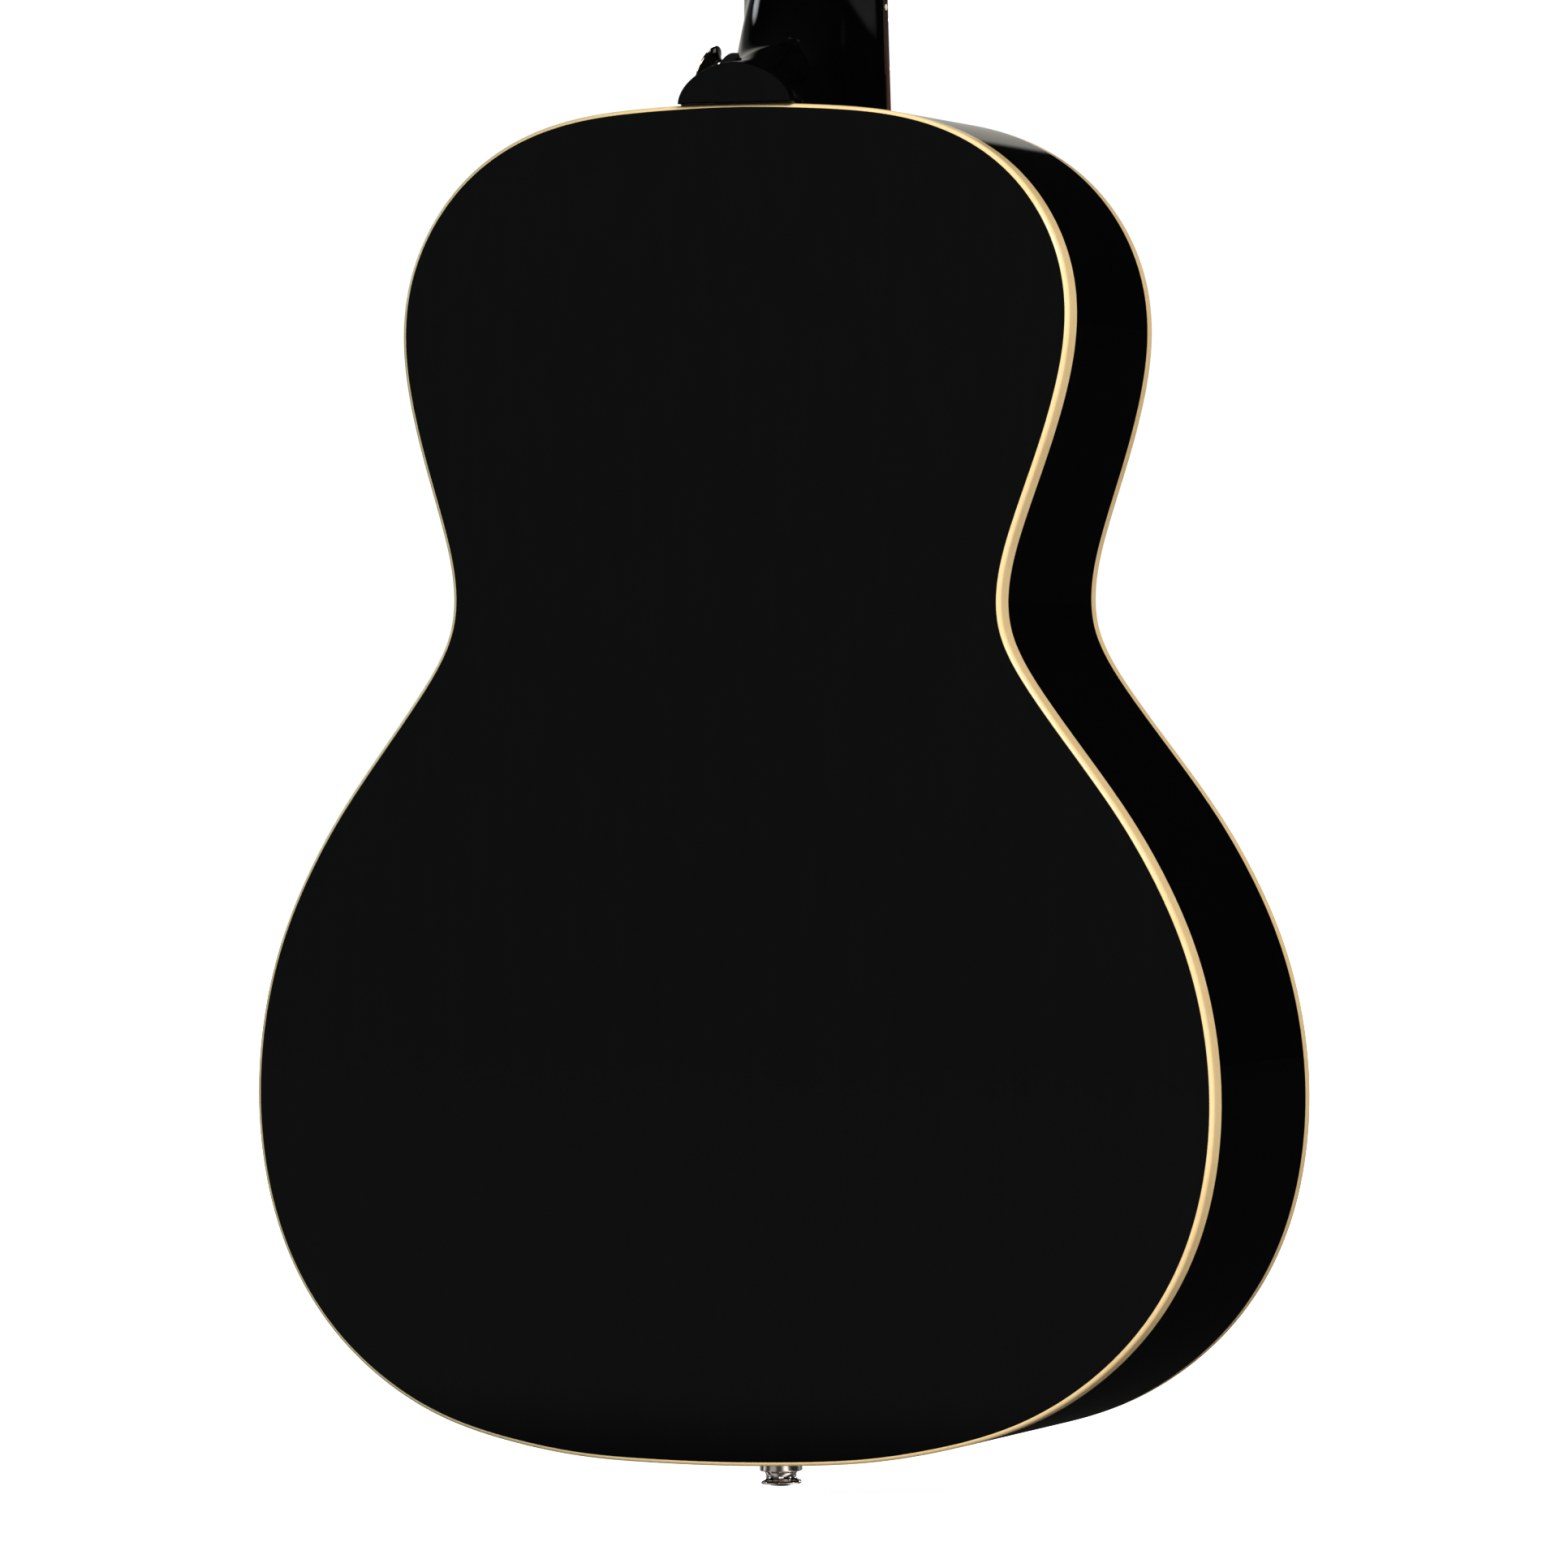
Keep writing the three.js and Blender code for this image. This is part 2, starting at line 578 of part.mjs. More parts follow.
// ---------------------------------------------------------------- end pin jack and its lead
const JACK_NUT_PROFILE = [ // [radius, z]
  [4.35, -0.45], [7.8, -0.45], [7.8, -6.4], [7.3, -6.7], [5.9, -7], [5.55, -7.9], [5.6, -9.2],
  [6.1, -9.9], [7.2, -10.1], [7.4, -10.7], [7.1, -11.3], [4.35, -11.3], [4.35, -0.45],
];
const JACK_BARREL_PROFILE = [ // [radius, z]
  [0, 44], [5.9, 44], [5.9, 21.8], [5.9, 21.7], [5.9, 3.2], [4, 3.2],
  [4, -11.7], [3.7, -12], [3.2, -12], [3.2, 34], [0, 34],
];
const onJackAxis = (profile, segments) =>
  lathe(profile, segments).rotateX(Math.PI / 2).translate(0, JACK_Y, 0);
put("jack_strap_nut", onJackAxis(JACK_NUT_PROFILE, 18), FINISHES.nickel);
put("jack_barrel", onJackAxis(JACK_BARREL_PROFILE, 14), FINISHES.nickel);

function pickupLead() {
  const points = [
    [0, JACK_Y, 44.4], [0, JACK_Y, 60], [-14, 40, 90], [-30, 18, 140], [-36, 10, 180],
    [LEAD_X, 9, 196], [LEAD_X, 7, SADDLE_Z], [LEAD_X, 1, SADDLE_Z], [LEAD_X, -3.3, SADDLE_Z],
  ].map((point) => new THREE.Vector3(...point));
  const extrudePath = new THREE.CatmullRomCurve3(points, false, "centripetal");
  const section = new THREE.Shape(polygon(6, 1.2).map(toVector));
  return new THREE.ExtrudeGeometry(section, { steps: 22, bevelEnabled: false, extrudePath });
}
put("pickup_lead", pickupLead(), FINISHES.lead);

// ---------------------------------------------------------------- heel strap button
const BUTTON_FOOT = new THREE.Vector3(20.9, 27.5, 498.6); // on the heel's treble flank
const BUTTON_TURN = new THREE.Quaternion().setFromUnitVectors(
  new THREE.Vector3(0, 1, 0), new THREE.Vector3(0.9, 0, 0.437).normalize());
const onButton = (geometry) =>
  geometry.applyQuaternion(BUTTON_TURN).translate(...BUTTON_FOOT);
const BUTTON_PROFILE = [ // [radius, distance from the foot], the screw last
  [0, 13.1], [3.6, 13.1], [6.5, 12.3], [8, 11.5], [7.9, 10.9], [6.4, 10.1], [4.7, 8.6],
  [3.9, 6.8], [4, 6.1], [4.5, 5.6], [4.7, 5.2], [1.7, 5.2], [1.7, 3], [1.5, -14], [0, -14],
];
const WASHER_PROFILE = [[2.1, 0.2], [8, 0.2], [8, 4.4], [7.6, 4.9], [2.1, 4.9], [2.1, 0.2]];
put("heel_strap_button", onButton(lathe(BUTTON_PROFILE, 14)), FINISHES.nickel);
put("strap_button_washer", onButton(lathe(WASHER_PROFILE, 14)), FINISHES.washer);

// ---------------------------------------------------------------- neck and truss rod
const boardHalf = (z) => (NUT_WIDTH + BOARD_TAPER * (NUT_Z - z)) / 2;
// Where the neck meets the body's end, just clear of it.
const bodyFaceZ = (y) => JOINT_Z + (BODY_LENGTH - JOINT_Z) * clamp(y / NECK_DEPTH, 0, 1) + GAP;
// Upper half of a unit circle, closed by its diameter.
const HALF_ROUND = [...polygon(20).slice(0, 10), [-1, 0]];

// [y, half width, reach beyond the body's face]: half ellipses from fretboard to cap
const HEEL_ROWS = [
  [0, 27.2, 80], [8, 26.2, 78], [14, 25.2, 71], [20, 24.2, 59], [26, 23, 43.5],
  [34, 22.1, 28.5], [44, 21.7, 21.3], [56, 21.9, 17.9], [68, 22.6, 15.8], [76.9, 23.1, 14.6],
];
const [HEEL_END_Y, HEEL_END_HALF, HEEL_END_REACH] = HEEL_ROWS.at(-1);

function neckShaft() {
  const start = bodyFaceZ(10) + 0.2;
  const depth = (z) => mapLinear(z, NUT_Z, JOINT_Z, 15.5, 19.5);
  return bend(extrude(HALF_ROUND, 1, 6), (x, y, share) => {
    const z = start + (HEAD_Z - start) * share;
    return [x * boardHalf(z), y * depth(z), z];
  });
}

function neckHeel() {
  const steps = HEEL_ROWS.length - 1;
  return bend(extrude(HALF_ROUND, steps, steps), (across, along, row) => {
    const [y, half, reach] = HEEL_ROWS[Math.round(row)];
    return [across * half, y, bodyFaceZ(y) + along * reach];
  });
}

function headPlate() {
  const points = symmetric([ // [x, distance along the headstock]
    [21.9, 0], [23.5, 6], [31, 24], [32, 30], [35, 160],
    [33.4, 167], [26, 172], [13, 175.2], [0, 176.3],
  ]);
  const holes = [-1, 1].flatMap((side) => TUNER_Z.map((postZ) =>
    polygon(10, 3.9).map(([x, y]) => [side * TUNER_X + x, postZ - y])));
  return bend(extrude(points, HEAD_THICK, 1, holes), (x, y, z) => [x, z, y])
    .applyMatrix4(headFrame);
}

function neck() {
  const tenon = box(-TENON.half, TENON.half, TENON.y0, TENON.y1, TENON.z0, 492);
  const channel = box(-3.3, 3.3, -2, 7.4, 470, HEAD_Z + 14); // for the truss rod
  const pocket = box(-4.5, 4.5, -3, 9, 1, 24).applyMatrix4(headFrame);
  const screwHole = onButton(cylinder(2, 34, 8));
  const washerFlat = onButton(cylinder(8.6, 8, 16).translate(0, 3.9, 0));
  const body = join(neckShaft(), neckHeel(), tenon, headPlate());
  return cut(body, channel, pocket, screwHole, washerFlat);
}

function heelCap() {
  const points = HALF_ROUND.map(([x, z]) => [x * HEEL_END_HALF, z * HEEL_END_REACH]);
  return bend(extrude(points, 1), (x, z, share) =>
    [x, HEEL_END_Y + GAP + 0.9 * share, bodyFaceZ(HEEL_END_Y) + z]);
}

function trussRod() {
  const rod = rodZ(0, 4, 2.5, 486, HEAD_Z + 4.6, 10);
  const socket = rodZ(0, 4, 1.3, HEAD_Z, HEAD_Z + 8, 6);
  return cut(rod, socket);
}

function rodCover() {
  const points = symmetric([[9, 4], [11.5, 12], [9, 26], [4, 36], [0, 38]]);
  return bend(extrude(points, 1.6), (x, y, z) => [x, -GAP - z, y]);
}

put("neck", neck(), FINISHES.black);
put("heel_cap", heelCap(), FINISHES.heelCap);
put("truss_rod", trussRod(), FINISHES.steel);
put("truss_rod_cover", rodCover(), FINISHES.rodCover, head);

// ---------------------------------------------------------------- fretboard and nut
// Laid out in side section with a bump for each fret, then crowned across its width.
function fretboard() {
  const end = NUT_Z - 0.05;
  const side = [[BOARD_END_Z, -GAP], [BOARD_END_Z, -BOARD_THICK]]; // [z, y]
  for (let fret = FRETS; fret >= 1; fret--) {
    const z = NUT_Z - nutToFret(fret);
    side.push([z - 1.1, -BOARD_THICK], [z, -BOARD_THICK - FRET_HEIGHT], [z + 1.1, -BOARD_THICK]);
  }
  side.push([end, -BOARD_THICK], [end, -GAP]);
  return bend(extrude(side, 2, 4), (z, y, across) => {
    const x = (across - 1) * boardHalf(z);
    return [x, y < -GAP - 0.01 ? y + (x * x) / (2 * BOARD_RADIUS) : y, z];
  });
}

// Nut, with a slot for each string.
function nut() {
  const half = 21.6;
  const slots = nutX.flatMap((x, k) => {
    const slotHalf = GAUGES[k] / 2 + 0.35;
    const level = stringY(x, NUT_Z);
    return [
      [x - slotHalf - 0.1, level - 0.9], [x - slotHalf, level + slotHalf],
      [x + slotHalf, level + slotHalf], [x + slotHalf + 0.1, level - 0.9],
    ];
  });
  const points = [[-half, -GAP], [-half, -6.6], ...slots, [half, -6.6], [half, -GAP]];
  return extrude(points, 4.9).translate(0, 0, NUT_Z + GAP);
}

put("fretboard", fretboard(), FINISHES.rosewood);
put("nut", nut(), FINISHES.bone);

// ---------------------------------------------------------------- tuning machines
// Laid out in the headstock's frame; y is the depth behind its face.
const WORM_Y = 19;
const WORM_DROP = -7.2; // the worm passes the gear on the nut side
const TEETH = 14;
const GEAR_RADIUS = 5;
const ADDENDUM = 0.55;
const WORM_RADIUS = 2.2;
const WORM_CORE = 1.5;
const WORM_PITCH = (2 * Math.PI * GEAR_RADIUS) / TEETH;

// Plate of three tuners, with a pair of tabs to carry each worm.
function tunerPlate(x) {
  const y0 = HEAD_THICK + GAP;
  const y1 = y0 + 1;
  const base = box(x - 7.2, x + 7.2, y0, y1, TUNER_Z[0] - 17, TUNER_Z[2] + 13);
  const tabs = TUNER_Z.flatMap((z) => [-5.7, 5.7].map((dx) => box(
    x + dx - 0.6, x + dx + 0.6, y0 + 0.2, WORM_Y + 3, z + WORM_DROP - 3, z + WORM_DROP + 3)));
  const holes = TUNER_Z.flatMap((z) => [
    rodY(x, z, 3.7, y0 - 2, y1 + 2, 10),
    rodX(WORM_Y, z + WORM_DROP, 1.95, x - 12, x + 12, 8),
  ]);
  return cut(join(base, ...tabs), ...holes);
}
put("tuner_plate_bass", tunerPlate(-TUNER_X), FINISHES.nickel, head);
put("tuner_plate_treble", tunerPlate(TUNER_X), FINISHES.nickel, head);

// A single helical thread along X, in mesh with the gear at the middle of its length.
function wormThread(phase) {
  const turns = 2.4;
  const crest = WORM_RADIUS + ADDENDUM - WORM_CORE;
  const section = [[-0.42, -0.2], [0.42, -0.2], [0.28, crest], [-0.28, crest]];
  return bend(extrude(section, 1, 14), (along, out, share) => {
    const angle = (share - 0.5) * turns * 2 * Math.PI + phase;
    const radius = WORM_CORE + out;
    return [
      (share - 0.5) * turns * WORM_PITCH + along,
      radius * Math.sin(angle),
      -radius * Math.cos(angle),
    ];
  });
}

// Shaft, worm and button; side is -1 for bass and 1 for treble.
function tunerKey(side) {
  const shaft = lathe([ // [radius, distance outwards]
    [0, 18], [2.3, 18], [1.9, 10.6], [2.8, 8.6],
    [2.8, 7.2], [WORM_CORE, 6.9], [WORM_CORE, -7.4], [0, -7.4],
  ], 8).rotateZ(-Math.PI / 2);
  const button = bend(new THREE.SphereGeometry(1, 8, 6), (x, y, z) =>
    [24 + 7.6 * x, 3.4 * z, 9.6 * y * (1 - 0.12 * x)]);
  const key = join(shaft, wormThread(side < 0 ? Math.PI : 0), button);
  return side < 0 ? key.rotateY(Math.PI) : key;
}

function gearWheel() {
  const root = GEAR_RADIUS - 0.75;
  const tip = GEAR_RADIUS + ADDENDUM;
  // [radius, offset to one side of the tooth's middle]
  const tooth = [[root, -0.54], [tip, -0.28], [tip, 0.28], [root, 0.54]];
  const points = Array.from({ length: TEETH }, (_, i) => tooth.map(([radius, offset]) => {
    const angle = -Math.PI / 2 + (i * 2 * Math.PI) / TEETH + offset / radius;
    return [radius * Math.cos(angle), radius * Math.sin(angle)];
  })).flat();
  return bend(extrude(points, 3), (x, y, z) => [x, WORM_Y - 1.5 + z, y]);
}

// String post, waisted where the string winds, with its gear and the cap behind it.
function tunerPost() {
  const post = lathe([
    [0, WORM_Y - 1], [3, WORM_Y - 1], [3, -7.6], [2.7, -8.4], [2.7, -11.6],
    [3, -12.4], [3, -17.2], [2.6, -17.6], [0, -17.6],
  ], 10);
  const cap = lathe([
    [0, WORM_Y], [3.2, WORM_Y], [3.2, WORM_Y + 2.2], [2.6, WORM_Y + 2.9], [0, WORM_Y + 2.9],
  ], 8);
  return join(post, gearWheel(), cap);
}

// [side, z] of each string's post; the outer strings' posts are nearest the nut.
const postOf = (k) => (k < 3 ? [-1, TUNER_Z[k]] : [1, TUNER_Z[5 - k]]);
for (const k of STRINGS) {
  const [side, z] = postOf(k);
  const x = side * TUNER_X;
  const key = tunerKey(side).translate(x, WORM_Y, z + WORM_DROP);
  put(`tuner_key_${6 - k}`, key, FINISHES.nickel, head);
  put(`tuner_post_${6 - k}`, tunerPost().translate(x, 0, z), FINISHES.nickel, head);
}

// ---------------------------------------------------------------- strings
// Centre line of a string from inside the body, over saddle and nut, and round its post.
function stringPath(k) {
  const radius = GAUGES[k] / 2;
  const [atPin, atNut] = [pinX[k], nutX[k]];
  const path = [
    [atPin, 8.6, PIN_Z + 4.75],
    [atPin, 2, PIN_Z + 4.75],
    [atPin, -7.6, PIN_Z + 4.85],
    [atPin, -9.6 - radius, PIN_Z + 6.4],
    [atPin, stringY(atPin, SADDLE_Z) - 0.25, SADDLE_Z - 0.3],
    [atPin, stringY(atPin, SADDLE_Z + 2.5) - 0.1, SADDLE_Z + 2.5],
    [atNut, stringY(atNut, NUT_Z), NUT_Z],
    [atNut, stringY(atNut, NUT_Z) + 0.15, NUT_Z + 5.2],
  ].map((point) => new THREE.Vector3(...point));
  const addOnHead = (...point) =>
    path.push(new THREE.Vector3(...point).applyMatrix4(headFrame));

  // from the post's inner side, 1.3 turns round it
  const [side, postZ] = postOf(k);
  const windRadius = 3.1 + GAP + radius;
  const windY = -9;
  const steps = 9;
  addOnHead(side * (TUNER_X - windRadius), windY, postZ - 4);
  for (let j = 0; j <= steps; j++) {
    const share = j / steps;
    const angle = share * 2.6 * Math.PI;
    addOnHead(
      side * (TUNER_X - windRadius * Math.cos(angle)),
      windY + share * (2.2 * radius + 1.2),
      postZ + windRadius * Math.sin(angle),
    );
  }
  return path;
}

// A five-sided rod along a list of points.
function rodAlong(path, radius) {
  const last = path.length - 1;
  let side = new THREE.Vector3(1, 0, 0);
  const frames = path.map((point, j) => {
    const tangent = new THREE.Vector3()
      .subVectors(path[Math.min(last, j + 1)], path[Math.max(0, j - 1)])
      .normalize();
    side = side.clone().addScaledVector(tangent, -side.dot(tangent)).normalize();
    return [point, side, new THREE.Vector3().crossVectors(tangent, side)];
  });
  return bend(extrude(polygon(5, 1), 1, last), (x, y, z) => {
    const [point, across, up] = frames[Math.round(z * last)];
    return point.clone().addScaledVector(across, radius * x).addScaledVector(up, radius * y);
  });
}
for (const k of STRINGS) {
  const string = rodAlong(stringPath(k), GAUGES[k] / 2);
  put(`string_${6 - k}`, string, k < 4 ? FINISHES.bronze : FINISHES.steel);
}

// ---------------------------------------------------------------- origin at the foot's centre
const part = new THREE.Group();
part.add(guitar);
part.updateMatrixWorld(true);
const bounds = new THREE.Box3().setFromObject(guitar, true);
const centre = bounds.getCenter(new THREE.Vector3());
guitar.position.set(-centre.x, -centre.y, -bounds.min.z);
part.updateMatrixWorld(true);

export default part;
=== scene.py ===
# Acoustic guitar with black lacquer, cream binding and a jack in the tail: its visible surfaces.
# It stands upright: head to +Z, back to +Y, soundboard to -Y, treble side to +X, bass side to -X.
# Shapes are in the luthier's frame, in millimetres: its origin is the tail end of the centre
# line, on the plane of the soundboard's rim. SHIFT carries it to the frame of the CAD pieces.
import json
import math
import bmesh
import bpy
import numpy as np
from mathutils import Matrix, Vector

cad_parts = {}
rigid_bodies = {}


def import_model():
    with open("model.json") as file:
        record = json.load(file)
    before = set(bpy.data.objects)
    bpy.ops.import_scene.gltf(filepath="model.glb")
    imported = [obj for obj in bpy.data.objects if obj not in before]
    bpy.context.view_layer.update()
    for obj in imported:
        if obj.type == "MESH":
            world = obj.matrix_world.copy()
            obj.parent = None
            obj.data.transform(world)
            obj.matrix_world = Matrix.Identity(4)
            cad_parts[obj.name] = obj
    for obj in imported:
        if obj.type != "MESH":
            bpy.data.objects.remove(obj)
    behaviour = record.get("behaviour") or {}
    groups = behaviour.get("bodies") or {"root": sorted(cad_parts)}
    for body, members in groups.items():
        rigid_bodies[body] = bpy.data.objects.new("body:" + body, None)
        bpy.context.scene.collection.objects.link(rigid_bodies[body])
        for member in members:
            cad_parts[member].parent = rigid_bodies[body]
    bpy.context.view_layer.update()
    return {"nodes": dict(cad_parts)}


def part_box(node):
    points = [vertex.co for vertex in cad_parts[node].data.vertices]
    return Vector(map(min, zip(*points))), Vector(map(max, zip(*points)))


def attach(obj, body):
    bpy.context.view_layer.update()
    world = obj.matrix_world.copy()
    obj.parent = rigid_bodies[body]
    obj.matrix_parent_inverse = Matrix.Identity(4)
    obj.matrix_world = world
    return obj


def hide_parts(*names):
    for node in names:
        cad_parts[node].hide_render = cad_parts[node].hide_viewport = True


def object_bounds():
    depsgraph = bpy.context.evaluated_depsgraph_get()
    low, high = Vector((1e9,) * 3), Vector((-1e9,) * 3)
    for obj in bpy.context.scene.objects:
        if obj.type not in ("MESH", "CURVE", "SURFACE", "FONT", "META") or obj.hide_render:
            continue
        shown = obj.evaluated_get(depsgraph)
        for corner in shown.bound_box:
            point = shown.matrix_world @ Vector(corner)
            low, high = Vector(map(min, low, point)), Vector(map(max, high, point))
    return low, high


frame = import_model()

# ------------------------------------------------------------------ driving dimensions (mm)
TRUSS_ROD_Z = 486.0
SHIFT = np.array([0.0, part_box("top_binding")[0].y * 1000,
                  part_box("truss_rod")[0].z * 1000 - TRUSS_ROD_Z])

# distance of the back's outline from the hub, every 3 degrees from the tail to the neck
HUB_Z = 220.0
OUTLINE_RADII = [
    220.123, 220.335, 221.0, 222.151, 223.688, 225.407, 227.182, 229.063, 231.087, 233.028,
    234.544, 235.451, 235.773, 235.526, 234.646, 233.054, 230.728, 227.686, 223.986, 219.761,
    215.149, 210.247, 205.128, 199.856, 194.481, 189.04, 183.538, 177.979, 172.441, 167.064,
    161.947, 157.095, 152.507, 148.251, 144.42, 141.076, 138.239, 135.926, 134.147, 132.92,
    132.375, 132.729, 134.38, 138.122, 144.906, 156.46, 174.776, 198.378, 221.296, 238.6,
    250.738, 259.446, 265.641, 269.612, 271.671, 272.222, 271.7, 270.659, 269.704, 269.159,
    268.99]
BODY_LENGTH, FRONT_RATIO = 489.0, 0.99009        # the soundboard is a little shorter than the back
DEPTH_TAIL, DEPTH_NECK = 106.96, 75.76
ARCH_X, ARCH_Z = 0.000531, 0.000294              # curvature of the back across and along, 1/mm
TOP_T, BACK_T, SIDE_T, BINDING_T = 3.0, 2.8, 2.6, 1.45
BACK_BINDING_H, TOP_BINDING_H = 7.94, 5.2
DOME, DOME_FADE_Z, DOME_FADE = 2.5, 290, 98      # the dome sinks to nothing towards the neck
HOLE_Z, HOLE_R, ROSETTE_R0, ROSETTE_R1 = 345.0, 50.8, 54.0, 61.0

SCALE_LENGTH = 628.65
JOINT_Z = BODY_LENGTH * FRONT_RATIO              # the neck joins the body at the 14th fret
NUT_Z = JOINT_Z + SCALE_LENGTH * (1 - 2 ** (-14 / 12))
NUT_WIDTH, BOARD_TAPER, BOARD_T, BOARD_R, BOARD_END_Z = 43.8, 0.03385, 5.5, 304.8, 397.2
FRET_H, FRETS = 1.1, 20
HEAD_ANGLE, HEAD_T, HEAD_Z = math.radians(17), 14.5, NUT_Z + 5.8
TUNER_X, TUNER_Z, KEY_Y, KEY_DROP = 22.0, [46.0, 82.0, 118.0], 19, 7.2
# side and place of each string's tuner, from the lowest string to the highest
TUNERS = [(-1, z) for z in TUNER_Z] + [(1, z) for z in reversed(TUNER_Z)]

BRIDGE_Z0, BRIDGE_Z1, PIN_Z, SADDLE_Z, SADDLE_TILT = 178.0, 207.0, 186.0, 200.6, math.radians(-2)
GAUGES = [1.35, 1.07, 0.81, 0.61, 0.41, 0.30]    # string diameters, lowest string first
WOUND_STRINGS = 4
PIN_SPACING, NUT_SPACING = 10.8, 7.1
PIN_X = [(k - 2.5) * PIN_SPACING for k in range(6)]
NUT_X = [(k - 2.5) * NUT_SPACING for k in range(6)]
STRING_Y_NUT, STRING_Y_BRIDGE, SADDLE_SINK = -7.6, -11.2, 0.55
QUARTER = math.pi / 2


# ------------------------------------------------------------------ curves and frames
def xyz(x, y, z):
    return np.stack(np.broadcast_arrays(x, y, z), -1)


def smoothstep(t):
    t = np.clip(t, 0, 1)
    return t * t * (3 - 2 * t)


def signed_power(value, power):
    return np.sign(value) * np.abs(value) ** power


def spline(knots, values, slopes=None):
    """C2 cubic through the knots: clamped to the end slopes if given, otherwise natural."""
    knots, values = np.asarray(knots, float), np.asarray(values, float)
    count, step = len(knots), np.diff(knots)
    slope = np.diff(values) / step
    system, target = np.zeros((count, count)), np.zeros(count)
    for i in range(1, count - 1):
        system[i, i - 1:i + 2] = step[i - 1], 2 * (step[i - 1] + step[i]), step[i]
        target[i] = 6 * (slope[i] - slope[i - 1])
    if slopes:
        system[0, :2] = 2 * step[0], step[0]
        system[-1, -2:] = step[-1], 2 * step[-1]
        target[0] = 6 * (slope[0] - slopes[0])
        target[-1] = 6 * (slopes[1] - slope[-1])
    else:
        system[0, 0] = system[-1, -1] = 1
    bend = np.linalg.solve(system, target)

    def at(x):
        x = np.asarray(x, float)
        i = np.clip(np.searchsorted(knots, x) - 1, 0, count - 2)
        after, before, width = knots[i + 1] - x, x - knots[i], step[i]
        return ((bend[i] * after ** 3 + bend[i + 1] * before ** 3) / (6 * width)
                + (values[i] / width - bend[i] * width / 6) * after
                + (values[i + 1] / width - bend[i + 1] * width / 6) * before)
    return at


def smooth_path(points, per_span):
    """Points along a spline through the given ones."""
    points = np.asarray(points, float)
    gaps = np.linalg.norm(np.diff(points, axis=0), axis=1) ** 0.5
    knots = np.concatenate([[0], np.cumsum(np.maximum(gaps, 1e-6))])
    spans = [np.linspace(start, end, per_span, endpoint=False)
             for start, end in zip(knots[:-1], knots[1:])]
    places = np.concatenate(spans + [[knots[-1]]])
    return np.stack([spline(knots, points[:, k])(places) for k in range(points.shape[1])], 1)


def fillet(table, steps=5, closed=True):
    """Rounds a flat outline. Columns of the table: the two coordinates, the corner's radius."""
    table = np.asarray(table, float)
    points, count, out = table[:, :2], len(table), []
    for i, corner in enumerate(points):
        radius = table[i, 2]
        if (not closed and i in (0, count - 1)) or radius <= 0:
            out.append(corner)
            continue
        back, ahead = points[i - 1] - corner, points[(i + 1) % count] - corner
        back_len, ahead_len = np.linalg.norm(back), np.linalg.norm(ahead)
        back, ahead = back / back_len, ahead / ahead_len
        angle = math.acos(max(-1, min(1, float(back @ ahead))))
        if angle > math.radians(176):
            out.append(corner)
            continue
        cut = min(radius / math.tan(angle / 2), 0.46 * back_len, 0.46 * ahead_len)
        start, end = corner + back * cut, corner + ahead * cut
        for k in range(steps + 1):
            t = k / steps
            out.append((1 - t) ** 2 * start + 2 * t * (1 - t) * corner + t * t * end)
    return np.array(out)


def subdivide(loop, step):
    """Splits a closed loop's edges into lengths of at most one step."""
    out = []
    for start, end in zip(loop, np.roll(loop, -1, 0)):
        count = max(1, int(math.ceil(np.linalg.norm(end - start) / step)))
        out += [start + (end - start) * k / count for k in range(count)]
    return np.array(out)


def inward_normals(outline):
    tangent = np.roll(outline, -1, 0) - np.roll(outline, 1, 0)
    tangent /= np.linalg.norm(tangent, axis=1)[:, None]
    x, z = outline.T
    twice_area = np.sum(x * np.roll(z, -1) - np.roll(x, -1) * z)
    return np.stack([-tangent[:, 1], tangent[:, 0]], 1) * (1 if twice_area > 0 else -1)


outline_radius = spline(np.radians(np.arange(-90, 91, 3)), OUTLINE_RADII, (0, 0))
bearings = np.radians(np.linspace(-90, 90, 7201))
HALF_OUTLINE = np.stack([outline_radius(bearings) * np.cos(bearings),
                         HUB_Z + outline_radius(bearings) * np.sin(bearings)], 1)
HALF_OUTLINE[0, 0] = HALF_OUTLINE[-1, 0] = 0
tangents = np.gradient(HALF_OUTLINE, axis=0)
tangents /= np.linalg.norm(tangents, axis=1)[:, None]
tangents[0], tangents[-1] = (1, 0), (-1, 0)
HALF_INWARD = np.stack([-tangents[:, 1], tangents[:, 0]], 1)
HALF_ARC = np.concatenate(
    [[0], np.cumsum(np.linalg.norm(np.diff(HALF_OUTLINE, axis=0), axis=1))])


def body_outline(station, inset):
    """Back's outline: stations run 0 (tail) to 1 (neck) up the treble side, 1 to 2 down the bass."""
    station = np.asarray(station, float)
    arc = np.clip(np.where(station > 1, 2 - station, station), 0, 1) * HALF_ARC[-1]
    x, z = (np.interp(arc, HALF_ARC, HALF_OUTLINE[:, k])
            + inset * np.interp(arc, HALF_ARC, HALF_INWARD[:, k]) for k in (0, 1))
    return np.where(station > 1, -x, x), z


def back_y(x, z):
    half = BODY_LENGTH / 2
    return (DEPTH_TAIL + (DEPTH_NECK - DEPTH_TAIL) * z / BODY_LENGTH - ARCH_X * x * x / 2
            - ARCH_Z / 2 * ((z - half) ** 2 - half ** 2))


def rim(station, inset, depth):
    """Points round the body's rim; depth gives y from the back's own y there."""
    x, z = body_outline(station, inset)
    back = back_y(x, z)
    y = depth(back)
    return xyz(x, y, z * (FRONT_RATIO + (1 - FRONT_RATIO) * np.clip(y / back, 0, 1)))


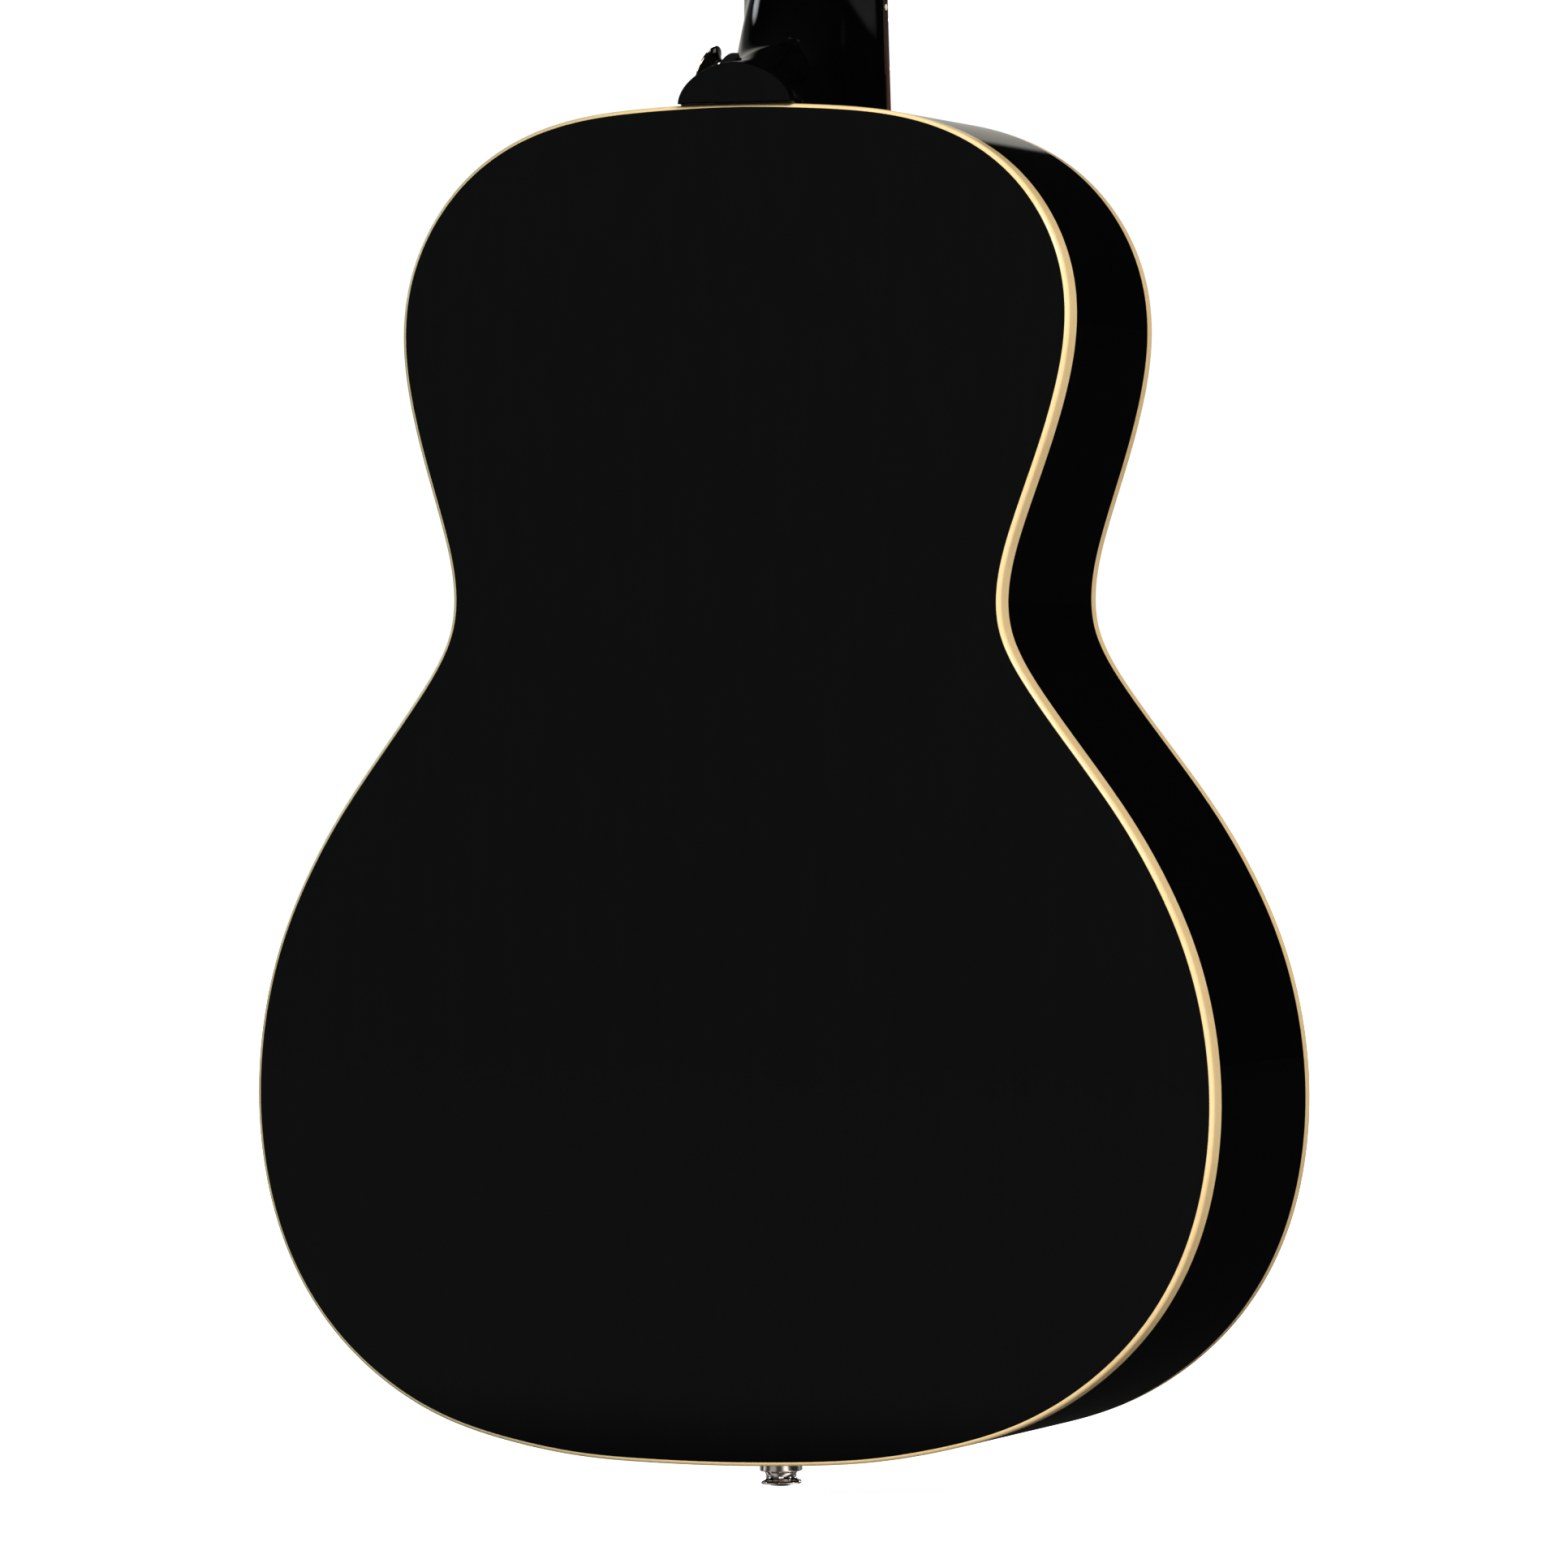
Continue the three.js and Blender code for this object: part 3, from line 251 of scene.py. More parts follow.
def dome(x, z):
    """Height of the soundboard's dome; it rises towards -Y."""
    x, z = np.asarray(x, float), np.asarray(z, float)
    up = z / FRONT_RATIO - HUB_Z
    reach = np.minimum(1, np.hypot(x, up) / outline_radius(np.arctan2(up, np.abs(x))))
    return DOME * (1 - reach * reach) ** 1.5 * (1 - smoothstep((z - DOME_FADE_Z) / DOME_FADE))


def body_face(y):
    """Height of the body's neck end at depth y."""
    return float(JOINT_Z + (BODY_LENGTH - JOINT_Z) * np.clip(y / DEPTH_NECK, 0, 1))


def board_half(z):
    return (NUT_WIDTH + BOARD_TAPER * (NUT_Z - z)) / 2


def board_y(x):
    return -BOARD_T + np.asarray(x, float) ** 2 / (2 * BOARD_R)


def fret_z(k):
    return NUT_Z - SCALE_LENGTH * (1 - 2 ** (-k / 12))


def string_y(x, z):
    fall = (STRING_Y_BRIDGE - STRING_Y_NUT) * (NUT_Z - z) / SCALE_LENGTH
    return STRING_Y_NUT + fall + x * x / (2 * BOARD_R)


def to_head(points):
    """From the headstock's frame (x, depth behind its face, distance from the nut)."""
    x, y, z = np.moveaxis(np.asarray(points, float), -1, 0)
    cos, sin = math.cos(HEAD_ANGLE), math.sin(HEAD_ANGLE)
    return xyz(x, y * cos + z * sin, HEAD_Z - y * sin + z * cos)


HEAD_BACK = to_head([0, 1, 0]) - to_head([0, 0, 0])


def on_head(outline, depth):
    return to_head(xyz(outline[:, 0], depth, outline[:, 1]))


# ------------------------------------------------------------------ node graphs
class Graph:
    """Adds nodes to a tree. Any input takes a socket or a constant; _ in a name is a space."""

    def __init__(self, tree):
        self.tree = tree
        tree.nodes.clear()

    def put(self, socket, value):
        if value is None:
            return
        if isinstance(value, bpy.types.NodeSocket):
            self.tree.links.new(value, socket)
        elif socket.type == "RGBA":
            socket.default_value = (*value, 1)
        else:
            socket.default_value = value

    def feed(self, node, *values, **inputs):
        for i, value in enumerate(values):
            self.put(node.inputs[i], value)
        for name, value in inputs.items():
            self.put(node.inputs[name.replace("_", " ")], value)

    def node(self, kind, *values, props=None, **inputs):
        node = self.tree.nodes.new("ShaderNode" + kind)
        for name, value in (props or {}).items():
            setattr(node, name, value)
        self.feed(node, *values, **inputs)
        return node

    def surface(self, **inputs):
        self.feed(self.principled, **inputs)

    def position(self, **mapping):
        texture = self.node("TexCoord")
        return self.node("Mapping", texture.outputs["Object"], **mapping).outputs["Vector"]

    def noise(self, vector, scale=1.0, detail=4.0, rough=0.55, distortion=0.0):
        return self.node("TexNoise", vector, Scale=scale, Detail=detail, Roughness=rough,
                         Distortion=distortion).outputs["Fac"]

    def bands(self, vector, axis, **inputs):
        props = {"wave_type": "BANDS", "bands_direction": axis}
        return self.node("TexWave", vector, props=props, **inputs).outputs["Fac"]

    def ramp(self, factor, stops, mode="LINEAR"):
        node = self.node("ValToRGB", factor)
        node.color_ramp.interpolation = mode
        elements = node.color_ramp.elements
        while len(elements) < len(stops):
            elements.new(0.5)
        for element, (place, color) in zip(elements, stops):
            element.position = place
            element.color = (*(color if isinstance(color, tuple) else (color,) * 3), 1)
        return node.outputs["Color"]

    def math(self, operation, *values):
        return self.node("Math", *values, props={"operation": operation}).outputs[0]

    def add(self, first, second):
        return self.math("ADD", first, second)

    def mul(self, first, second):
        return self.math("MULTIPLY", first, second)

    def blend(self, first, first_share, second, second_share):
        return self.add(self.mul(first, first_share), self.mul(second, second_share))

    def vector(self, operation, *values):
        return self.node("VectorMath", *values, props={"operation": operation}).outputs

    def separate(self, vector):
        return self.node("SeparateXYZ", vector).outputs

    def mix(self, factor, first, second):
        node = self.node("Mix", factor, props={"data_type": "RGBA"})
        self.put(node.inputs[6], first)
        self.put(node.inputs[7], second)
        return node.outputs[2]

    def remap(self, value, low, high, to=(0.0, 1.0), smooth=True):
        props = {"interpolation_type": "SMOOTHSTEP" if smooth else "LINEAR"}
        return self.node("MapRange", value, props=props, From_Min=low, From_Max=high,
                         To_Min=to[0], To_Max=to[1]).outputs["Result"]

    def bump(self, height, strength, distance, normal=None):
        node = self.node("Bump", Strength=strength, Distance=distance, Height=height,
                         Normal=normal)
        self.surface(Normal=node.outputs[0])
        return node.outputs[0]


MATERIALS = {}


def new_material(name):
    MATERIALS[name] = material = bpy.data.materials.new(name)
    material.use_nodes = True
    graph = Graph(material.node_tree)
    output = graph.node("OutputMaterial")
    graph.principled = graph.node("BsdfPrincipled")
    graph.put(output.inputs[0], graph.principled.outputs[0])
    return graph


def tint(color, factor):
    return tuple(min(1, c * factor) for c in color)


# ------------------------------------------------------------------ materials
def lacquer(name, rough=0.045, grain_scale=(260, 260, 9)):
    """Black gloss: faint grain under the finish, haze and buffing hairlines in its polish."""
    black = (0.0006, 0.0007, 0.0008)
    graph = new_material(name)
    graph.surface(IOR=1.5)
    position = graph.position()
    grain = graph.noise(graph.position(Scale=grain_scale), detail=3.0, rough=0.6)
    color = graph.ramp(grain, [(0.35, tint(black, 0.75)), (0.7, tint(black, 1.3))])
    haze = graph.noise(position, scale=14.0, detail=3.0)
    hairlines = graph.noise(
        graph.position(Scale=(900, 900, 40), Rotation=(0.2, 0.1, 0.35)), detail=2.0)
    polish = graph.blend(first=haze, first_share=0.03, second=hairlines, second_share=0.02)
    mean_polish = 0.025
    graph.surface(Base_Color=color, Roughness=graph.add(polish, rough - mean_polish))
    orange_peel = graph.noise(position, scale=210.0, detail=2.0)
    normal = graph.bump(orange_peel, strength=0.10, distance=0.00010)
    graph.bump(grain, strength=0.035, distance=0.00008, normal=normal)


def binding_cream():
    """Cream strips, with painted shade that darkens them towards the treble side."""
    base, dark, painted_shade = (0.77, 0.56, 0.28), (0.69, 0.47, 0.20), (0.40, 0.345, 0.185)
    graph = new_material("binding_cream")
    blotch = graph.noise(graph.position(), scale=26.0, rough=0.6)
    streak = graph.noise(graph.position(Scale=(1800, 1800, 70)), detail=3.0, rough=0.6)
    pattern = graph.blend(first=blotch, first_share=0.55, second=streak, second_share=0.45)
    color = graph.ramp(pattern, [(0.34, dark), (0.52, base), (0.75, tint(base, 1.07))])
    side = graph.separate(graph.position())[0]
    # painted shade: the cream turns darker and duller towards the treble side (+X), where less light
    # falls
    color = graph.mix(graph.remap(side, low=-0.02, high=0.13), color, painted_shade)
    graph.surface(Base_Color=color, Roughness=0.30, IOR=1.5, Coat_Weight=0.9,
                  Coat_Roughness=0.05)
    graph.bump(streak, strength=0.06, distance=0.0001)


def wood(name, light, dark, scale, rough, pores=True, relief=0.25):
    graph = new_material(name)
    grain = graph.noise(graph.position(Scale=scale), detail=6.0, rough=0.62, distortion=0.6)
    band_scale = (scale[0] * 0.6, scale[1] * 0.6, scale[2] * 0.5)
    figure = graph.bands(graph.position(Scale=band_scale), "X", Scale=2.2, Distortion=7.0,
                         Detail=3.0, Detail_Scale=1.2)
    pattern = graph.blend(first=grain, first_share=0.6, second=figure, second_share=0.4)
    middle = tuple((a + b) / 2 for a, b in zip(light, dark))
    color = graph.ramp(pattern, [(0.25, dark), (0.5, middle), (0.8, light)])
    pore_scale = (scale[0] * 18, scale[1] * 18, scale[2] * 9)
    fine = graph.noise(graph.position(Scale=pore_scale), detail=2.0)
    if pores:
        open_pores = graph.ramp(fine, [(0.40, 0.0), (0.50, 1.0)])
        color = graph.mix(0.5, color, graph.mix(open_pores, tint(dark, 0.35), color))
    # the grain varies the roughness by 0.18 about its mean
    graph.surface(Base_Color=color, Roughness=graph.add(graph.mul(grain, 0.18), rough - 0.09))
    graph.bump(fine, strength=relief, distance=0.00012)


def metal(name, base, rough, tarnish):
    graph = new_material(name)
    graph.surface(Metallic=1.0)
    clouds = graph.noise(graph.position(), scale=160.0, detail=5.0, rough=0.6)
    fine = graph.noise(graph.position(), scale=700.0, detail=3.0)
    color = graph.ramp(clouds, [(0.30, tarnish), (0.52, base), (0.8, tint(base, 1.1))])
    # clouds vary the roughness by 0.09, the fine noise by 0.05
    fine_part = graph.add(graph.mul(fine, 0.05), rough - 0.06)
    graph.surface(Base_Color=color, Roughness=graph.add(graph.mul(clouds, 0.09), fine_part))
    graph.bump(fine, strength=0.06, distance=0.00005)


def plastic(name, base, rough, vary, scale=60.0):
    graph = new_material(name)
    clouds = graph.noise(graph.position(), scale=scale)
    color = graph.ramp(clouds, [(0.3, tint(base, 1 - vary)), (0.7, tint(base, 1 + vary))])
    fine = graph.noise(graph.position(), scale=900.0, detail=2.0)
    # the fine noise varies the roughness by 0.1
    graph.surface(Base_Color=color, Roughness=graph.add(graph.mul(fine, 0.1), rough - 0.03))
    graph.bump(fine, strength=0.05, distance=0.00005)


def wound_bronze(name, gauge):
    """Ridges along the string, one winding wire apart."""
    one_band_per_mm = 314.0                      # mapping scale, in metres
    wire = max(0.2, gauge * 0.30)
    graph = new_material(name)
    ridges = graph.bands(graph.position(Scale=(0, 0, one_band_per_mm / wire)), "Z",
                         Scale=1.0, Distortion=0.0)
    clouds = graph.noise(graph.position(), scale=90.0)
    color = graph.ramp(clouds, [(0.3, (0.40, 0.22, 0.10)), (0.7, (0.72, 0.47, 0.24))])
    graph.surface(Base_Color=color, Metallic=1.0, Roughness=0.28)
    graph.bump(ridges, strength=0.6, distance=0.00006)


def rosette_rings():
    """Rings of black, cream and herringbone by distance from the hole's centre."""
    black, cream = (0.012, 0.010, 0.010), (0.72, 0.58, 0.33)
    teeth_per_radian, slant = 190 / math.pi, 5.0
    graph = new_material("rosette_rings")
    _, center_y, center_z = ((SHIFT + [0, 0, HOLE_Z]) / 1000).tolist()
    position = graph.node("TexCoord").outputs["Object"]
    offset = graph.vector("SUBTRACT", position, (0, center_y, center_z))[0]
    flat_mm = graph.vector("MULTIPLY", offset, (1000, 0, 1000))[0]
    radius = graph.vector("LENGTH", flat_mm)["Value"]
    across = graph.separate(flat_mm)
    bearing = graph.math("ARCTAN2", across[2], across[0])
    from_inner = graph.math("SUBTRACT", radius, ROSETTE_R0)
    share = graph.mul(from_inner, 1 / (ROSETTE_R1 - ROSETTE_R0))
    from_middle = graph.math("ABSOLUTE", graph.math("SUBTRACT", share, 0.5))
    teeth = graph.math("FRACT", graph.blend(first=bearing, first_share=teeth_per_radian,
                                            second=from_middle, second_share=slant))
    herringbone = graph.ramp(teeth, [(0.0, (0.55, 0.41, 0.22)), (0.48, (0.62, 0.48, 0.27)),
                                     (0.52, (0.03, 0.02, 0.015)), (1.0, (0.02, 0.015, 0.012))])
    lines = graph.ramp(from_middle, [
        (0.0, 0.0), (0.26, 0.0), (0.27, 1.0), (0.34, 1.0), (0.35, 0.0), (0.42, 0.0),
        (0.43, 1.0), (0.49, 1.0), (0.5, 0.0)], "CONSTANT")
    outside = graph.ramp(from_middle, [(0.0, 0.0), (0.26, 1.0)], "CONSTANT")
    rings = graph.mix(lines, black, cream)
    graph.surface(Base_Color=graph.mix(outside, herringbone, rings), Roughness=0.2,
                  Coat_Weight=1.0, Coat_Roughness=0.04)
    graph.bump(graph.noise(graph.position(), scale=900.0, detail=2.0),
               strength=0.05, distance=0.00005)


def tortoise():
    graph = new_material("tortoise")
    clouds = graph.noise(graph.position(Scale=(1, 1, 1.4)), scale=42.0, detail=3.0, rough=0.5,
                         distortion=1.6)
    fine = graph.noise(graph.position(), scale=130.0, detail=3.0)
    pattern = graph.blend(first=clouds, first_share=0.8, second=fine, second_share=0.2)
    color = graph.ramp(pattern, [(0.38, (0.012, 0.004, 0.002)), (0.5, (0.085, 0.022, 0.006)),
                                 (0.62, (0.30, 0.10, 0.02))])
    graph.surface(Base_Color=color, Roughness=0.1)
    graph.bump(graph.noise(graph.position(), scale=500.0), strength=0.05, distance=0.00005)


lacquer("lacquer_back")
lacquer("lacquer_side", grain_scale=(200, 200, 200))
lacquer("lacquer_neck", rough=0.06)
binding_cream()
metal("nickel_plate", base=(0.68, 0.62, 0.565), rough=0.07, tarnish=(0.40, 0.35, 0.29))
metal("plain_steel", base=(0.70, 0.70, 0.70), rough=0.16, tarnish=(0.5, 0.5, 0.5))
metal("nickel_silver", base=(0.74, 0.71, 0.64), rough=0.12, tarnish=(0.55, 0.51, 0.44))
wood("rosewood", light=(0.125, 0.055, 0.032), dark=(0.030, 0.012, 0.009),
     scale=(150, 150, 9), rough=0.42, relief=0.35)
wood("spruce", light=(0.74, 0.56, 0.33), dark=(0.58, 0.40, 0.20),
     scale=(300, 300, 9), rough=0.62, pores=False, relief=0.2)
wood("mahogany", light=(0.40, 0.205, 0.10), dark=(0.22, 0.09, 0.04),
     scale=(120, 120, 10), rough=0.6)
plastic("bone", base=(0.80, 0.745, 0.60), rough=0.28, vary=0.06, scale=120.0)
plastic("pin_cream", base=(0.78, 0.69, 0.48), rough=0.16, vary=0.06, scale=200.0)
plastic("pin_dot", base=(0.012, 0.010, 0.010), rough=0.12, vary=0.2)
plastic("cover_black", base=(0.0045, 0.0045, 0.005), rough=0.10, vary=0.2)
plastic("felt_black", base=(0.006, 0.006, 0.0065), rough=0.75, vary=0.4, scale=900.0)
plastic("cable_black", base=(0.012, 0.012, 0.012), rough=0.5, vary=0.2)
plastic("tuner_cream", base=(0.78, 0.66, 0.40), rough=0.14, vary=0.07, scale=90.0)


# ------------------------------------------------------------------ mesh tools
def clean_mesh(mesh, merge, degenerate=1e-7):
    work = bmesh.new()
    work.from_mesh(mesh)
    bmesh.ops.remove_doubles(work, verts=work.verts, dist=merge)
    if degenerate:
        bmesh.ops.dissolve_degenerate(work, edges=work.edges, dist=degenerate)
    bmesh.ops.recalc_face_normals(work, faces=work.faces)
    work.to_mesh(mesh)
    work.free()


def shade(mesh, angle):
    mesh.shade_smooth()
    mesh.set_sharp_from_angle(angle=math.radians(angle))


def link_object(name, mesh):
    ob = bpy.data.objects.new(name, mesh)
    bpy.context.scene.collection.objects.link(ob)
    return ob


def evaluated(ob, **options):
    """Mesh of an object after its modifiers."""
    graph = bpy.context.evaluated_depsgraph_get()
    return bpy.data.meshes.new_from_object(ob.evaluated_get(graph), **options)


def axis_basis(axis):
    """Unit axis and two unit directions square to it."""
    axis = np.asarray(axis, float) / np.linalg.norm(axis)
    reference = np.array([0, 0, 1.0]) if abs(axis[2]) < 0.9 else np.array([1.0, 0, 0])
    side = np.cross(reference, axis)
    side /= np.linalg.norm(side)
    return axis, side, np.cross(axis, side)


def circle(segments):
    return np.linspace(0, 2 * math.pi, segments, endpoint=False)


def lathe_rings(profile, origin, axis, segments):
    """Rings of a turned shape; the profile holds (radius, distance along the axis)."""
    axis, side, up = axis_basis(axis)
    turn = circle(segments)[:, None]
    profile = np.asarray(profile, float)
    spokes = np.cos(turn) * side + np.sin(turn) * up
    return np.asarray(origin, float) + profile[:, None, :1] * spokes + profile[:, None, 1:] * axis


class Piece:
    """Vertices in the luthier's millimetres, faces with a material number each."""

    def __init__(self):
        self.blocks, self.faces, self.slots, self.count = [], [], [], 0

    def add(self, vertices, faces):
        self.blocks.append(np.asarray(vertices, float))
        self.faces += [tuple(int(i) + self.count for i in face) for face in faces]
        self.slots += [0] * len(faces)
        self.count += len(vertices)
        return self

    def grid(self, rows, wrap_rows=False, wrap_ring=False, slot=0):
        """Faces between rows of points; slot may be a function of the row number."""
        rows = np.asarray(rows, float)
        height, width = rows.shape[:2]
        base = self.count
        self.blocks.append(rows.reshape(-1, 3))
        self.count += height * width
        for i in range(height if wrap_rows else height - 1):
            low, high = base + i * width, base + (i + 1) % height * width
            for j in range(width if wrap_ring else width - 1):
                after = (j + 1) % width
                self.faces.append((low + j, high + j, high + after, low + after))
                self.slots.append(slot(i) if callable(slot) else slot)
        return self

    def loft(self, rings):
        """A skin over closed rings, with a flat face on each end."""
        self.grid(rings, wrap_ring=True)
        for ring in (rings[0], rings[-1]):
            self.add(ring, [range(len(ring))])
        return self

    def lathe(self, profile, origin, axis, segments, closed=False):
        rings = lathe_rings(profile, origin, axis, segments)
        return self.grid(rings, wrap_rows=closed, wrap_ring=True)

    def slab(self, outline, place, inner, outer, edge_radius, steps=5):
        """A plate between two depths, its outer edge rounded. place(outline, depth) sets it."""
        inward, toward = inward_normals(outline), np.sign(inner - outer)
        rings = [place(outline, inner)]
        for angle in np.linspace(0, QUARTER, steps + 1):
            ring = outline + inward * edge_radius * (1 - math.cos(angle))
            rings.append(place(ring, outer + toward * edge_radius * (1 - math.sin(angle))))
        return self.loft(rings)

    def tube(self, path, radius, segments):
        tangents = np.gradient(path, axis=0)
        tangents /= np.linalg.norm(tangents, axis=1)[:, None] + 1e-12
        side = np.cross(tangents[0], [0.3, 0.9, 0.1])
        turn, rings = circle(segments)[:, None], []
        for point, tangent in zip(path, tangents):
            side = side - (side @ tangent) * tangent
            side /= np.linalg.norm(side)
            up = np.cross(tangent, side)
            rings.append(point + radius * (np.cos(turn) * side + np.sin(turn) * up))
        ends = [np.repeat(end, segments, 0) for end in (path[:1], path[-1:])]
        return self.grid([ends[0], *rings, ends[1]], wrap_ring=True)

    def screw_head(self, origin, axis, radius, height):
        """A low domed head with a cross slot."""
        segments = 48
        profile = np.array(
            [(radius, 0.0), (radius, height * 0.35)]
            + [(radius * math.cos(t), height * (0.35 + 0.65 * math.sin(t)))
               for t in np.linspace(0.15, 1.35, 6)]
            + [(radius * 0.12, height * 0.96)])
        rings = lathe_rings(profile, origin, axis, segments)
        reach, turn = profile[:, :1], circle(segments)
        arms = np.minimum(np.abs(reach * np.cos(turn)), np.abs(reach * np.sin(turn)))
        slotted = (reach < radius * 0.62) & (arms < radius * 0.13)
        rings[slotted] -= axis_basis(axis)[0] * height * 0.55
        self.grid(rings, wrap_ring=True)
        middle = np.repeat([rings[-1].mean(0)], segments, 0)
        return self.grid([rings[-1], middle], wrap_ring=True)

    def mesh(self, name, shift=SHIFT, unit=1000.0):
        mesh = bpy.data.meshes.new(name)
        mesh.from_pydata(((np.concatenate(self.blocks) + shift) / unit).tolist(), [], self.faces)
        return mesh

    def make(self, name, materials, slot, replaces="", body="guitar", angle=40, merge=1e-6):
        """Builds the object. materials: names with a space between; merge in metres."""
        mesh = self.mesh(name)
        for key in materials.split():
            mesh.materials.append(MATERIALS[key])
        mesh.polygons.foreach_set("material_index", self.slots)
        clean_mesh(mesh, merge)
        shade(mesh, angle)
        ob = link_object(name, mesh)
        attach(ob, body)
        if replaces:
            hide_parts(replaces)
        return ob


# ------------------------------------------------------------------ body
STATIONS = np.linspace(0, 2, 961)[:-1]           # right round the body


def make_back():
    piece = Piece()
    edge_x, edge_z = body_outline(STATIONS, BINDING_T)

    def rings(shares, lift):
        x = shares[:, None] * edge_x
        z = HUB_Z + shares[:, None] * (edge_z - HUB_Z)
        return xyz(x, back_y(x, z) - lift, z)
    outer_shares = np.concatenate(
        [[0.0], np.linspace(0.02, 0.9, 30), np.linspace(0.92, 0.995, 10), [1.0]])
    piece.grid(rings(outer_shares, 0), wrap_ring=True)
    piece.grid(rings(np.array([1.0, 0.8, 0.5, 0.25, 0.0]), BACK_T), wrap_ring=True, slot=1)
    edge_y = back_y(edge_x, edge_z)
    piece.grid([xyz(edge_x, edge_y, edge_z), xyz(edge_x, edge_y - BACK_T, edge_z)],
               wrap_ring=True)
    piece.make("back", "lacquer_back mahogany", "black_lacquer", "back_plate", angle=32)


def make_binding(node, depth, height, corner_inset, corner_depth):
    """A strip round the body, its outer corner rounded; depth(back, h) is y at h below its face."""
    section = [(BINDING_T, 0.0)]
    for k in range(13):
        angle = k / 12 * QUARTER
        section.append((corner_inset * (1 - math.sin(angle)),
                        corner_depth * (1 - math.cos(angle))))
    section += [(0.0, corner_depth + (height - corner_depth) * share) for share in (0.4, 0.8)]
    section += [(0.0, height), (BINDING_T, height)]
    rows = [rim(STATIONS, inset, lambda back: depth(back, h)) for inset, h in section]
    Piece().grid(rows, wrap_rows=True, wrap_ring=True).make(
        node + "_strip", "binding_cream", "cream_binding", node)


def make_side(node, first, last):
    stations = np.linspace(first, last, 521)
    shares = np.linspace(0, 1, 14)

    def line(inset, share):
        span = BACK_BINDING_H + TOP_BINDING_H
        return rim(stations, inset, lambda back: TOP_BINDING_H + share * (back - span))
    piece = Piece()
    piece.grid([line(0.0, share) for share in shares])
    piece.grid([line(SIDE_T, share) for share in shares[::-1]], slot=1)
    for share in (0, 1):
        piece.grid([line(0.0, share), line(SIDE_T, share)], slot=1)
    for end in (0, -1):
        piece.grid([[line(inset, share)[end] for share in shares] for inset in (0.0, SIDE_T)],
                   slot=1)
    piece.make(node + "_finish", "lacquer_side mahogany", "black_lacquer", node, angle=32)


def make_soundboard():
    """Rings from the hole's wall out to the binding, with a groove for the rosette."""
    edge_x, edge_z = body_outline(STATIONS, BINDING_T)
    out_x, out_z = edge_x, edge_z * FRONT_RATIO - HOLE_Z
    reach = np.hypot(out_x, out_z)
    out_x, out_z = out_x / reach, out_z / reach
    hole_round, groove, first_ring = 0.5, 1.2, 64

    def ring(radius, down=0.0):
        x, z = out_x * radius, HOLE_Z + out_z * radius
        return xyz(x, -dome(x, z) + down, z)
    rows = [ring(radius, down) for radius, down in (
        (HOLE_R, TOP_T), (HOLE_R, hole_round), (HOLE_R + 0.15 * hole_round, 0.4 * hole_round),
        (HOLE_R + hole_round, 0.0), (ROSETTE_R0 - 1.2, 0.0), (ROSETTE_R0, 0.0),
        (ROSETTE_R0, groove), (ROSETTE_R1, groove), (ROSETTE_R1, 0.0), (ROSETTE_R1 + 2.0, 0.0))]
    rows += [ring(first_ring + (reach - first_ring) * share)
             for share in (np.linspace(0, 1, 42) ** 0.8)[1:]]
    under = [ring(HOLE_R + (reach - HOLE_R) * share, TOP_T) for share in (1, 0.7, 0.4, 0.15, 0)]
    piece = Piece()
    piece.grid(rows, wrap_ring=True, slot=lambda i: 2 if i == 0 else 0)
    piece.grid([rows[-1]] + under, wrap_ring=True, slot=lambda i: 0 if i == 0 else 1)
    piece.make("soundboard_finish", "lacquer_back spruce lacquer_side", "black_lacquer",
               "soundboard", angle=32)


def make_rosette():
    turn = np.linspace(0, 2 * math.pi, 361)[:-1]
    # columns: radius, depth below the soundboard's face
    section = [(ROSETTE_R0 + .02, 1.15), (ROSETTE_R0 + .02, 0.06), (ROSETTE_R0 + .10, 0.0),
               (55.5, -0.01), (57.5, -0.01), (59.5, -0.01),
               (ROSETTE_R1 - .10, 0.0), (ROSETTE_R1 - .02, 0.06), (ROSETTE_R1 - .02, 1.15)]
    rows = []
    for radius, down in section:
        x, z = radius * np.cos(turn), HOLE_Z + radius * np.sin(turn)
        rows.append(xyz(x, -dome(x, z) + down, z))
    Piece().grid(rows, wrap_rows=True, wrap_ring=True).make(
        "rosette_inlay", "rosette_rings", "rosette_inlay", "rosette", angle=32)


make_back()
make_binding("back_binding", lambda back, h: back - h, BACK_BINDING_H,
             corner_inset=1.2, corner_depth=1.9)
make_binding("top_binding", lambda back, h: h, TOP_BINDING_H,
             corner_inset=1.1, corner_depth=1.4)
make_side("side_bass", 1.0, 2.0)
make_side("side_treble", 0.0, 1.0)
make_soundboard()
rosette_rings()
make_rosette()

# ------------------------------------------------------------------ neck, heel and headstock
HEEL_H, HEEL_SKEW = 76.9, 1.1                    # the heel's foot lies off the centre line
NECK_DEPTH_NUT, NECK_DEPTH_JOINT = 15.5, 19.5
LET_IN_Y = -0.9                                  # the neck reaches into the fretboard: no seam
# columns: depth from the fretboard's underside, half width, reach up the neck
HEEL = np.array([
    [0, 27.2, 80], [8, 26.2, 78], [14, 25.2, 71], [20, 24.2, 59], [26, 23.0, 43.5],
    [34, 22.1, 28.5], [44, 21.7, 21.3], [56, 21.6, 17.7], [68, 21.8, 15.6],
    [HEEL_H, 22.3, 14.6]])
heel_half, heel_reach = spline(HEEL[:, 0], HEEL[:, 1]), spline(HEEL[:, 0], HEEL[:, 2])


